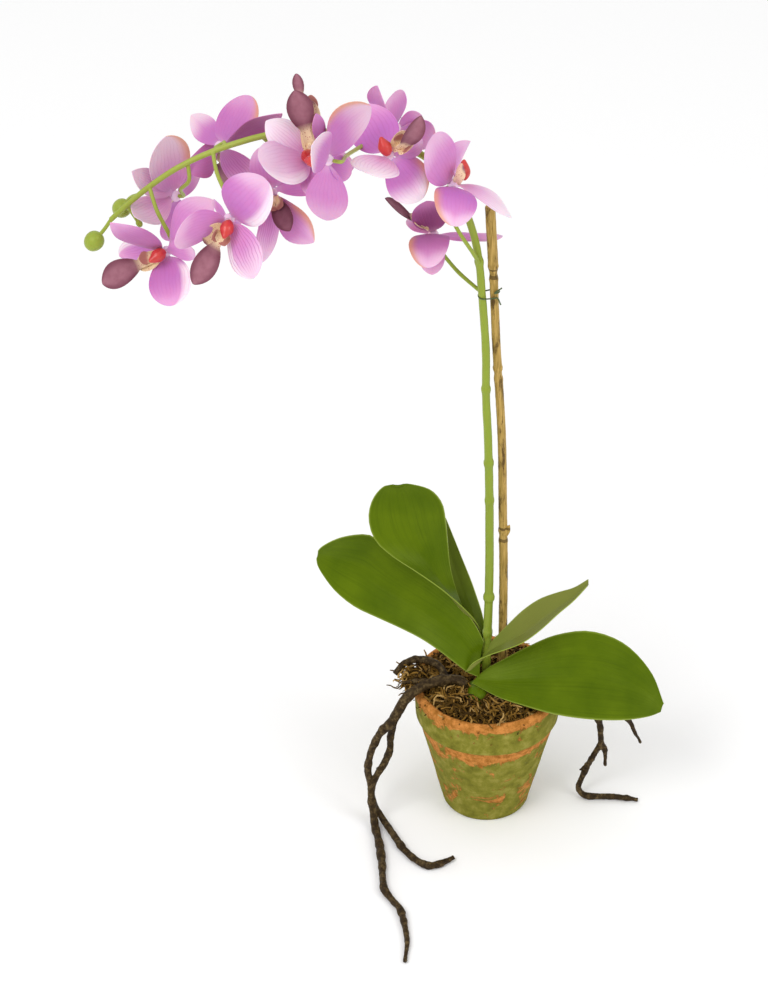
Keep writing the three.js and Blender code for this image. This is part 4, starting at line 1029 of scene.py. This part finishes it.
def blade(middle, rows, columns, thickness):
    """Vertices, faces and grid places of a thin closed blade.

    middle(t, s) is its middle surface: t runs from root 0 to tip 1 and s across from -1 to 1.
    """
    grid = [[middle(t, s) for s in columns] for t in rows]
    last_row, last_column = len(rows) - 1, len(columns) - 1
    top, bottom, places = [], [], []
    for i, t in enumerate(rows):
        for j, s in enumerate(columns):
            lengthwise = grid[min(i + 1, last_row)][j] - grid[max(i - 1, 0)][j]
            sideways = grid[i][min(j + 1, last_column)] - grid[i][max(j - 1, 0)]
            half = lengthwise.cross(sideways).normalized() * thickness(t, s) / 2
            top.append(grid[i][j] + half)
            bottom.append(grid[i][j] - half)
            places.append((t, s))
    under, width = len(top), len(columns)
    faces = []
    for i in range(last_row):
        for j in range(last_column):
            a, b = i * width + j, (i + 1) * width + j
            faces.append((a, b, b + 1, a + 1))
            faces.append((a + under, a + 1 + under, b + 1 + under, b + under))
    rim = [i * width for i in range(last_row)]
    rim += [last_row * width + j for j in range(last_column)]
    rim += [i * width + last_column for i in range(last_row, 0, -1)]
    rim += [j for j in range(last_column, 0, -1)]
    for p, q in zip(rim, rim[1:] + rim[:1]):
        faces.append((p + under, q + under, q, p))
    return top + bottom, faces, places + places


def blade_piece(name, blades, attributes):
    """One mesh from several blades in mm, with a UV map of their grids and a value for each attribute.

    Each blade is (vertices, faces, places, values), where values(t, s, back) gives the attributes.
    """
    vertices, faces, places, table = [], [], [], []
    for spots, quads, grid, values in blades:
        first = len(vertices)
        vertices += [p * mm for p in spots]
        faces += [tuple(i + first for i in quad) for quad in quads]
        places += grid
        half = len(grid) // 2
        table += [values(t, s, k >= half) for k, (t, s) in enumerate(grid)]
    piece = new_piece(name, vertices, faces)
    uv = piece.data.uv_layers.new(name="blade")
    for loop in piece.data.loops:
        t, s = places[loop.vertex_index]
        uv.data[loop.index].uv = ((s + 1) / 2, t)
    for column, attribute in enumerate(attributes):
        layer = piece.data.attributes.new(attribute, "FLOAT", "POINT")
        layer.data.foreach_set("value", [row[column] for row in table])
    piece.data.shade_smooth()
    piece.data.set_sharp_from_angle(angle=math.radians(55))
    return piece


def eased(count):
    """Shares from 0 to 1 that lie closer together towards both ends."""
    return [(1 - math.cos(math.pi * i / count)) / 2 for i in range(count + 1)]


# Waxed plastic gives the leaves broad, soft, yellow-green highlights over fine veins.
waxy_leaf, tree = new_material("waxy green leaf plastic")
uv = add(tree, "UVMap", uv_map="blade")
across = add(tree, "SeparateXYZ", {"Vector": uv})
place = add(tree, "TexCoord").outputs["Object"]
drift = add(tree, "TexNoise", {"Vector": place, "Scale": 1 / (18 * mm), "Detail": 2})
wander = add(tree, "Math", {0: drift, 1: 0.05, 2: across.outputs["X"]}, operation="MULTIPLY_ADD")
vein_count = 17
veins = add(tree, "Math", {
    0: add(tree, "Math", {0: wander, 1: vein_count * math.tau}, operation="MULTIPLY"),
}, operation="SINE")
vein_lines = add(tree, "MapRange", {"Value": veins, "From Min": 0.0, "From Max": 1.0})
clouds = add(tree, "TexNoise", {"Vector": place, "Scale": 1 / (22 * mm), "Detail": 4})
greens = add(tree, "ValToRGB", {"Fac": clouds})
set_stops(greens, (0.32, "#485E04"), (0.68, "#586D08"))
streaks = add(tree, "TexNoise", {
    "Vector": add(tree, "Mapping", {"Vector": uv, "Scale": (34, 2.2, 1)}), "Scale": 1.0, "Detail": 4,
    "Roughness": 0.6,
})
streak_lines = add(tree, "MapRange", {"Value": streaks, "From Min": 0.5, "From Max": 0.72, "To Max": 0.45})
veined = add(tree, "Mix", {0: streak_lines, 6: greens, 7: linear("#3C5102")}, data_type="RGBA")
# The back attribute gives the pale back colour: the real underside on back faces, and a painted glancing
# reflection on the tops of some leaves.
back = add(tree, "Attribute", attribute_name="back").outputs["Fac"]
underside_and_painted_reflection = add(tree, "Mix", {0: back, 6: veined, 7: linear("#777C3A")}, data_type="RGBA")
# The edge attribute lightens a thin rim along both margins: a painted highlight.
edge = add(tree, "Attribute", attribute_name="edge").outputs["Fac"]
painted_rim_highlight = add(tree, "Mix", {0: edge, 6: underside_and_painted_reflection, 7: linear("#8A9A3E")}, data_type="RGBA")
relief = add(tree, "Math", {0: vein_lines, 1: 0.35, 2: streaks}, operation="MULTIPLY_ADD")
bump = add(tree, "Bump", {"Height": relief, "Strength": 0.3, "Distance": 0.3 * mm})
add(tree, "OutputMaterial", {"Surface": add(tree, "BsdfPrincipled", {
    "Base Color": painted_rim_highlight, "Roughness": 0.3, "Normal": bump, "Specular IOR Level": 0.35,
    "Specular Tint": linear("#B4C070"),
})})
leaf_heart.data.materials.append(waxy_leaf)
leaf_heart.data.uv_layers.new(name="blade")
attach(leaf_heart, "root")
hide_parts("crown")


def leaf_middle(leaf):
    """The middle surface of a leaf, as a function of t along and s across it."""
    right, left = (smoothed([row[side] for row in leaf["rows"]], 12) for side in (0, 1))
    spans = len(right) - 1

    def middle(t, s):
        where = t * spans
        i = min(int(where), spans - 1)
        low, high = right[i].lerp(right[i + 1], where - i), left[i].lerp(left[i + 1], where - i)
        spine = (low + high) / 2
        half = (high - low) / 2
        before, after = max(i - 2, 0), min(i + 3, spans)
        tangent = right[after] + left[after] - right[before] - left[before]
        above = tangent.cross(half).normalized()
        hang = leaf["fold"] * half.length * (1 - abs(s) ** 1.4)
        crease = crease_depth * math.exp(-((s * half.length / crease_reach) ** 2)) * math.sin(math.pi * t)
        ripple = ripple_height * math.sin(11 * t + 2 * s) * s * s
        return spine + half * s + above * (ripple - hang - crease)

    return middle


def leaf_thick(t, s):
    return leaf_thickness * (1 - 0.55 * s * s)


def leaf_underside_and_painted_light(painted_reflection_share):
    """How much each spot on a leaf shows the pale back colour, which on the tops of some leaves is a painted
    glancing reflection, and the lighter edge, which is a painted highlight.
    """

    def values(t, s, back):
        return 1.0 if back else painted_reflection_share * min(1, 0.2 + 1.6 * t), max(0, abs(s) - 0.97) / 0.03

    return values


across_leaf = [math.sin(math.pi * (i / 20 - 0.5)) for i in range(21)]
# The leaves whose top faces get the pale back colour as a painted glancing reflection, and how much of that
# colour shows.
leaves_with_painted_reflection = {"back_right": 0.9, "back_middle": 0.3}
for name, leaf in leaves.items():
    spots, faces, places = blade(leaf_middle(leaf), eased(44), across_leaf, leaf_thick)
    underside_and_painted_light = leaf_underside_and_painted_light(leaves_with_painted_reflection.get(name, 0))
    strap = blade_piece(f"strap_leaf_{name}", [(spots, faces, places, underside_and_painted_light)], ("back", "edge"))
    strap.data.materials.append(waxy_leaf)
    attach(strap, "root")
    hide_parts(f"leaf_{name}")

# ---- Bloom pieces ----
# Sewn fabric-like tepals round a small hub, a mauve lip whose cream throat is dotted with red, and a glossy
# red column over it. Each tepal is one thin blade, cupped and veined, pale towards its tip.
petal_thickness = 0.6
root_inset = 2
lobe_inset = 1.5
groove_depth, groove_reach = 0.35, 1.1  # the groove along the middle of a petal
# How full the outline of a tepal is, and how far past the middle it is widest.
outlines = {"round": (0.5, 1.0), "oval": (0.62, 1.15), "pointed": (0.95, 0.9), "leaf": (0.8, 1.2)}
# The dye of a tepal: depth of its violet, share of wine, white at the tip, where the white starts, side of an
# orange edge, side of a white edge, strength of its veins. The left side is 1 and the right side is -1.
looks = {
    "lilac": (0.35, 0, 0.35, 0.6, 0, 0, 0.15),
    "lilac, white right": (0.7, 0.1, 0.4, 0.7, 0, -1, 0.12),
    "violet": (0.9, 0, 0.1, 0.75, 0, 0, 0.25),
    "violet, white left": (0.8, 0.15, 0.1, 0.75, 0, 1, 0.2),
    "violet, white right": (0.9, 0, 0.1, 0.75, 0, -1, 0.35),
    "violet, orange left": (0.7, 0, 0.2, 0.7, 1, 0, 0.15),
    "violet, orange right": (1, 0.1, 0.5, 0.8, -1, 0, 0.15),
    "light lilac": (0.05, 0, 0.6, 0.1, 0, 1, 0.12),
    "snowy, orange left": (0.2, 0, 1, 0.15, 1, 0, 0.12),
    "white tip": (0.7, 0, 1, 0.55, 0, 0, 0.12),
    "white tip, orange left": (0.7, 0, 0.95, 0.5, 1, 0, 0.12),
    "white tip, orange right": (0.6, 0, 0.8, 0.5, -1, 0, 0.12),
    "blush": (0.05, 0, 0.9, 0, 0, 0, 0.2),
    "mauve": (0.4, 0.4, 0.15, 0.7, 0, 0, 0.2),
    "mauve, orange left": (0.4, 0.2, 0.3, 0.75, 1, 0, 0.15),
    "mauve, orange right": (0.5, 0.5, 0.5, 0.75, -1, 0, 0.15),
    "dusk": (0.3, 0.8, 0, 0.7, 0, 0, 0.2),
    "wine": (0.6, 0.85, 0, 0.8, 0, 0, 0.2),
    "veined": (0.3, 0, 0.5, 0.5, 0, 0, 0.55),
    "veined, white right": (0.25, 0, 0.6, 0.45, 0, -1, 0.6),
}


def petal_axes(axes, angle, tilt, twist=0):
    """The direction of a petal, the way its front looks, and across."""
    up, side, front = axes
    angle, tilt = math.radians(angle), math.radians(tilt)
    outward = up * math.cos(angle) + side * math.sin(angle)
    along = outward * math.cos(tilt) + front * math.sin(tilt)
    face = front * math.cos(tilt) - outward * math.sin(tilt)
    face.rotate(Matrix.Rotation(math.radians(twist), 3, along))
    return along, face, face.cross(along)


def petal(root, axes, length, width, neck, claw, outline, bow, cup, waves, phase):
    """A petal from its root on. claw is half the width of its neck, and waves the height of its ruffles."""
    along, face, across = axes
    fullness, skew = outlines[outline]

    def middle(t, s):
        past = min(max((t - neck) / (1 - neck), 0), 1)
        swell = max(math.sin(math.pi * past**skew), 0) ** fullness
        half = claw * (1 - t**10) + 0.15 + (width / 2 - claw) * swell
        lift = bow * length * math.sin(math.pi * t) + cup * half * s * s
        lift -= groove_depth * math.exp(-((s * half / groove_reach) ** 2)) * math.sin(math.pi * t)
        lift += waves * math.sin(7 * t + phase + 1.5 * s) * s * s * math.sin(math.pi * t)
        return root + along * (t * length) + face * lift + across * (s * half)

    return blade(middle, eased(22), across_petal, lambda t, s: petal_thickness * (1 - 0.4 * s * s))


def spindle(start, along, stations):
    """A short round body on an axis, from (step, radius) stations, in the form that blade_piece takes."""
    aside = along.orthogonal().normalized()
    around = along.cross(aside)
    sides = 14
    rows = smoothed([(step, radius, 0) for step, radius in stations], 4)
    spots = [start + along * rows[0].x]
    for row in rows:
        for k in range(sides):
            turn = math.tau * k / sides
            spots.append(start + along * row.x + (aside * math.cos(turn) + around * math.sin(turn)) * row.y)
    spots.append(start + along * rows[-1].x)
    return spots, round_faces(len(rows), sides), [(0.1, 0)] * len(spots)


across_petal = [math.sin(math.pi * (i / 12 - 0.5)) for i in range(13)]
# Dyed cloth is matt and slightly furry, and some light comes through the thin petals.
petal_cloth, tree = new_material("lilac petal cloth")
uv = add(tree, "UVMap", uv_map="blade")
grid_place = add(tree, "SeparateXYZ", {"Vector": uv})
place = add(tree, "TexCoord").outputs["Object"]
drift = add(tree, "TexNoise", {"Vector": place, "Scale": 1 / (9 * mm), "Detail": 3})
wander = add(tree, "Math", {0: drift, 1: 0.16, 2: grid_place.outputs["X"]}, operation="MULTIPLY_ADD")
petal_veins = 11
wave = add(tree, "Math", {
    0: add(tree, "Math", {0: wander, 1: petal_veins * math.tau}, operation="MULTIPLY"),
}, operation="SINE")
vein_lines = add(tree, "MapRange", {"Value": wave, "From Min": 0.35, "From Max": 1.0})
dyes = ("deep", "wine", "pale", "warm", "veins", "back")
attribute = {name: add(tree, "Attribute", attribute_name=name).outputs["Fac"] for name in dyes}
clouds = add(tree, "TexNoise", {"Vector": place, "Scale": 1 / (7 * mm), "Detail": 4})
lilac = add(tree, "Mix", {0: clouds, 6: linear("#D187C2"), 7: linear("#DF9ED2")}, data_type="RGBA")
violet = add(tree, "Mix", {0: attribute["deep"], 6: lilac, 7: linear("#BC6FBE")}, data_type="RGBA")
wine = add(tree, "Mix", {0: attribute["wine"], 6: violet, 7: linear("#8E4074")}, data_type="RGBA")
pale = add(tree, "Mix", {0: attribute["pale"], 6: wine, 7: linear("#F6E6EE")}, data_type="RGBA")
veined = add(tree, "Mix", {
    0: add(tree, "Math", {0: vein_lines, 1: attribute["veins"]}, operation="MULTIPLY"), 6: pale,
    7: linear("#B564A4"),
}, data_type="RGBA")
under = add(tree, "Mix", {
    0: add(tree, "Math", {0: attribute["back"], 1: 0.3}, operation="MULTIPLY"), 6: veined,
    7: linear("#B06AA0"),
}, data_type="RGBA")
warmed = add(tree, "Mix", {0: attribute["warm"], 6: under, 7: linear("#DB9C6E")}, data_type="RGBA")
bump = add(tree, "Bump", {"Height": vein_lines, "Strength": 0.25, "Distance": 0.2 * mm})
add(tree, "OutputMaterial", {"Surface": add(tree, "BsdfPrincipled", {
    "Base Color": warmed, "Roughness": 0.62, "Normal": bump, "Sheen Weight": 0.08, "Sheen Roughness": 0.4,
    "Subsurface Weight": 0.2, "Subsurface Scale": 2 * mm, "Specular IOR Level": 0.15,
})})

# Thicker brushed cloth looks velvety and dark beside the petals.
lip_cloth, tree = new_material("dull mauve lip cloth")
place = add(tree, "TexCoord").outputs["Object"]
cream_part = add(tree, "Attribute", attribute_name="cream").outputs["Fac"]
rim_part = add(tree, "Attribute", attribute_name="rim").outputs["Fac"]
tan_part = add(tree, "Attribute", attribute_name="tan").outputs["Fac"]
clouds = add(tree, "TexNoise", {"Vector": place, "Scale": 1 / (3 * mm), "Detail": 4})
mauve = add(tree, "Mix", {0: clouds, 6: linear("#87505F"), 7: linear("#A97482")}, data_type="RGBA")
rimmed = add(tree, "Mix", {0: rim_part, 6: mauve, 7: linear("#6E3849")}, data_type="RGBA")
dot_spacing = 1.2
cells = add(tree, "TexVoronoi", {"Vector": place, "Scale": 1 / (dot_spacing * mm)})
dots = add(tree, "MapRange", {"Value": cells, "From Min": 0.26, "From Max": 0.16})
dotted = add(tree, "Mix", {0: dots, 6: linear("#EFD6AE"), 7: linear("#B4584E")}, data_type="RGBA")
tanned = add(tree, "Mix", {0: tan_part, 6: rimmed, 7: linear("#B87A6C")}, data_type="RGBA")
throat = add(tree, "Mix", {0: cream_part, 6: tanned, 7: dotted}, data_type="RGBA")
add(tree, "OutputMaterial", {"Surface": add(tree, "BsdfPrincipled", {
    "Base Color": throat, "Roughness": 0.6, "Sheen Weight": 0.08, "Specular IOR Level": 0.15,
})})

# Glossy plastic makes the columns look wet: they are the one shiny spot in each bloom.
red_plastic, tree = new_material("glossy coral red plastic")
place = add(tree, "TexCoord").outputs["Object"]
clouds = add(tree, "TexNoise", {"Vector": place, "Scale": 1 / (2.5 * mm), "Detail": 3})
reds = add(tree, "Mix", {0: clouds, 6: linear("#B4282A"), 7: linear("#DE4A42")}, data_type="RGBA")
add(tree, "OutputMaterial", {"Surface": add(tree, "BsdfPrincipled", {
    "Base Color": reds, "Roughness": 0.3, "Subsurface Weight": 0.15, "Subsurface Scale": 1 * mm,
})})


def ramp(low, high, value):
    share = min(max((value - low) / (high - low), 0), 1)
    return share * share * (3 - 2 * share)


def dye_of(look):
    """The dye of a tepal as a function of the place on it."""
    deep, wine, white, white_from, orange_side, white_side, veins = looks[look]

    def values(t, s, back):
        whiteness = white * ramp(white_from, 1.0, t + 0.15 * abs(s)) + 0.3 * ramp(0.2, 0.0, t)
        whiteness = max(whiteness, 0.9 * ramp(0.45, 0.8, white_side * s) * ramp(0.15, 0.35, t))
        warmth = 0.75 * ramp(0.55, 0.95, orange_side * s) * ramp(0.2, 0.5, t)
        violet = deep * ramp(1.0, 0.4, t)
        depth = veins * ramp(1.0, 0.6, t)
        return violet, wine * ramp(1.0, 0.5, t), min(whiteness, 1), warmth, depth, float(back)

    return values


def plain_dye(t, s, back):
    """The dye of the little green-white hub that the tepals are fixed to."""
    return 0.2, 0, 0.6, 0, 0, 0


def lip_dye(is_spoon, neck):
    """How cream, how dark at the rim and how tanned each place on a lobe of the lip is."""

    def values(t, s, back):
        cream = ramp(neck + 0.08, neck - 0.1, t) if is_spoon else ramp(0.6, 0.3, t)
        rim = 0.8 * ramp(0.3, 1.0, abs(s)) * ramp(0.2, 0.5, t) + 0.5 * ramp(0.6, 0.35, t)
        return cream, min(rim, 1) if is_spoon else 0.3, 0 if is_spoon else 0.8

    return values


def throat_dye(t, s, back):
    """The dye of the throat: cream with red dots, and mauve at its end."""
    return ramp(1.0, 0.85, t), 0.3, 0


# A cream plate under the column: angle, tilt, length and width. Most follow the spoon of the lip.
# The column is a drop: its radius at each step from its foot. A lobe of the lip that is longer than a spoon
# has the dye of the spoon.
column_shape = ((0, 1.4), (1, 2.4), (2.5, 3.3), (5.5, 3.8), (8, 2.8), (9.5, 1.9), (11, 1), (11.5, 0.4))
longest_side_lobe = 40
throats = {"b": (-150, 30, 14, 13), "e": (-168, 30, 27, 11), "g": (170, 66, 15, 11), "f": (166, 53, 5, 5)}
for letter, bloom in blooms.items():
    draw = random.Random(letter)
    axes = bloom_axes(bloom)
    up, side, front = axes
    hub = Vector(bloom["at"])
    blades = [(*spindle(hub, front, ((-hub_back, 1.6), (-0.8, 3.2), (hub_front, 2.4))), plain_dye)]
    for number, (angle, tilt, length, width, twist, bow, outline, look) in enumerate(bloom["tepals"]):
        spread = petal_axes(axes, angle, tilt, twist)
        depth = 0.7 if number in (1, 4) else -0.9
        root = hub + front * depth + spread[0] * (root_inset * math.cos(math.radians(tilt)))
        tepal = petal(
            root, spread, length - root_inset, width, 0.06, 1.3, outline, bow, -0.12, 0.6, draw.uniform(0, 6)
        )
        blades.append((*tepal, dye_of(look)))
    tepals = blade_piece(f"tepals_{letter}", blades, dyes)
    tepals.data.materials.append(petal_cloth)
    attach(tepals, "root")
    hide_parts(f"bloom_{letter}_tepals")

    throat_at = hub + front * (hub_front + clearance + 2.2) - up * 3
    throat_axis = petal_axes(axes, 180, 66)[0]
    blades = [(*spindle(throat_at, throat_axis, ((-1.2, 1.2), (1, 1.7), (4.5, 1.1))), throat_dye)]
    spoon_angle, spoon_tilt = bloom["lip"][0][:2]
    angle, tilt, length, width = throats.get(letter, (spoon_angle, spoon_tilt, 13, 10))
    plate = petal(throat_at, petal_axes(axes, angle, tilt), length, width, 0, 3, "round", -0.1, 0.3, 0.2, 0)
    blades.append((*plate, throat_dye))
    for number, (angle, tilt, length, width, neck, twist, bow) in enumerate(bloom["lip"]):
        spread = petal_axes(axes, angle, tilt, twist)
        root = throat_at + spread[0] * lobe_inset
        claw = 1.3 if number else 2.4
        lobe = petal(
            root, spread, length - lobe_inset, width, neck, claw, "oval", bow, 0.3, 0.2, draw.uniform(0, 6)
        )
        blades.append((*lobe, lip_dye(number == 0 or length > longest_side_lobe, neck)))
    lip = blade_piece(f"lip_{letter}", blades, ("cream", "rim", "tan"))
    lip.data.materials.append(lip_cloth)
    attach(lip, "root")
    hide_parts(f"bloom_{letter}_lip")

    angle, tilt, aside, size = bloom["column"]
    foot = hub + front * (hub_front + clearance + 2.4) + up * 2.8 + side * aside
    along = petal_axes(axes, angle, tilt)[0]
    rows = smoothed([(*(foot + along * step * size), radius * size) for step, radius in column_shape], 5)
    column = route_piece(f"column_{letter}", [rows])
    grow_on(column, sweep, {
        "Sides": 16, "Lump height": 0.6 * mm, "Lumps per metre": 260.0, "Material": red_plastic,
    })
    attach(column, "root")
    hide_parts(f"bloom_{letter}_column")
